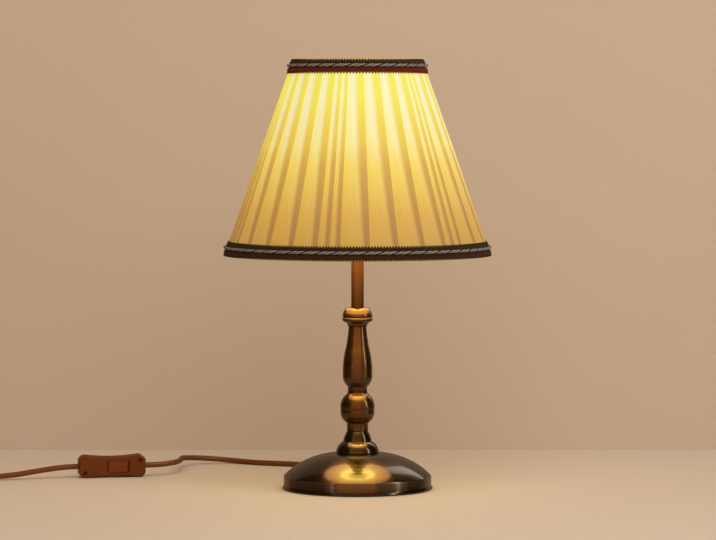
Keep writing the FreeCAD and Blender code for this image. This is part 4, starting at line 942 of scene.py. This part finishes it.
def twisted_cord(name, middle):
    """Four strands laid round one another, round the shade."""
    twists = round(2 * math.pi * cloth_radius(middle) / lay)
    samples = twists * samples_per_twist
    angle = all_round(samples)
    closed = grid_faces(samples, strand_sides, True, True)
    parts = []
    for i in range(strand_count):
        twist = twists * angle + 2 * math.pi * i / strand_count
        path = on_slope(middle, angle, twist_up - twist_radius * np.cos(twist),
                        twist_out + twist_radius * np.sin(twist))
        lapped = np.concatenate([path[-1:], path, path[:1]])[None]
        strand = tubes(lapped, strand_radius, strand_sides)[0][strand_sides:-strand_sides]
        parts.append((strand, closed, i / (strand_count - 1)))
    return joined(name, parts, "strand")


# %% [markdown]
# The yarns are fine and a little glossy. Their colour follows the value that each stitch or
# strand carries: two browns in the lower borders, brown and dark red in the upper ones, and
# silver, mauve and near black in the cord, whose strands show in turn as it twists.

# %% Trim: its yarns
def yarn(name, attribute, stops):
    """Fine glossy thread: colour by a stored value, with fibres that catch the light."""
    fixed = {"Roughness": 0.7, "Sheen Weight": 0.06, "Specular IOR Level": 0.3}
    finish, tree, shader = new_finish(name, fixed)
    skin = use_group(tree, grain, Grain_size=5000.0)
    colour = ramp(tree, stored(tree, attribute), stops)
    fibres = rescaled(tree, skin["Height"], 0.3, 0.7, 0.72, 1.3)
    tree.links.new(scaled(tree, colour, fibres), shader["Base Color"])
    add_bump(tree, shader, skin["Height"], 0.6, 0.08)
    return finish


def trim(name, low, high, borders, strands, node):
    """One trim, between two heights: its braid and the cord on it."""
    middle = (low + high) / 2
    half_width = (high - low) / 2 / math.cos(slope) * band_width_share
    braid = gimp_band(name + "_braid", middle, half_width)
    cord = twisted_cord(name + "_twisted_cord", middle)
    dress(braid, "shade", [borders], [node + "_band"])
    dress(cord, "shade", [strands], [node + "_cord"])
    return braid, cord


brown_yarn = yarn("brown yarn", "border", ((0.0, (0.036, 0.019, 0.007)), (1.0, (0.055, 0.018, 0.006))))
red_yarn = yarn("red brown yarn", "border", ((0.0, (0.045, 0.023, 0.008)), (1.0, (0.15, 0.016, 0.006))))
silver_yarn = yarn("silver yarn", "strand", ((0.0, (0.33, 0.30, 0.26)), (0.33, (0.19, 0.125, 0.12)),
                                             (0.66, (0.30, 0.27, 0.235)), (1.0, (0.035, 0.022, 0.015))))
low_trim = trim("low_trim", 234.8 * mm, 247.8 * mm, brown_yarn, silver_yarn, "bottom_trim")
high_trim = trim("high_trim", 416.0 * mm, 429.0 * mm, red_yarn, silver_yarn, "top_trim")
print("trims", [len(piece.data.vertices) for piece in low_trim + high_trim])

# %% [markdown]
# What stays of the frame gets a finish and nothing else: its shape is already right. The bulb's
# glass is clear with a faint haze, and its filament glows.

# %% Finishes of the frame's own nodes
clear_glass = {"Base Color": (1, 0.97, 0.9, 1), "Roughness": 0.02, "IOR": 1.45, "Transmission Weight": 1.0}
glass, tree, shader = new_finish("bulb glass", clear_glass)
haze = use_group(tree, patina, Cloud_size=60.0, Speck_size=300.0)
tree.links.new(rescaled(tree, haze["Cloud"], 0.0, 1.0, 0.02, 0.08), shader["Roughness"])
filament, tree, shader = new_finish("glowing filament", {"Emission Strength": 6.0, "Roughness": 0.5})
heat = use_group(tree, patina, Cloud_size=500.0, Speck_size=900.0)
tree.links.new(mixed(tree, heat["Cloud"], (1.0, 0.72, 0.32), (1.0, 0.8, 0.45)), shader["Emission Color"])

node_finishes = {
    cast_iron: ["base_weight"], black_paint: ["base_cover"], felt: ["felt_pad"],
    zinc: ["threaded_rod", "rod_washer", "rod_nut", "cord_clamp_screws", "terminal_screws"],
    dark_screw: ["switch_screws"],
    holder_white: ["cord_clamp", "holder_cap", "holder_shell", "holder_insert", "shade_ring_nut"],
    wire_brown: ["supply_wires"],
    contact_brass: ["holder_screw_shell", "holder_centre_contact", "bulb_contact"],
    brown_cord: ["cord_bush"],
    brown_switch: ["switch_front_shell", "switch_back_shell", "plug_body", "plug_strain_relief"],
    brown_rocker: ["switch_rocker"], black_strap: ["coil_tie"], pin_metal: ["plug_pins"],
    wire_white: ["shade_bottom_ring", "shade_top_ring", "shade_ribs", "shade_fitting_ring", "shade_arms"],
    glass: ["bulb_glass", "bulb_stem"], cap_metal: ["bulb_cap"], filament: ["bulb_filament"],
}
for finish, node_names in node_finishes.items():
    for node in node_names:
        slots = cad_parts[node].data.materials
        slots.clear()
        slots.append(finish)
for piece, replaced in ((lamp_cord, ["cord_to_switch"]), (base_cord, ["cord_inner_end"]),
                        (plug_cord, ["cord_to_coil", "cord_coil", "cord_plug_lead"])):
    dress(piece, "lamp", [brown_cord], replaced)
print("finished", sum(map(len, node_finishes.values())), "nodes and three cords")
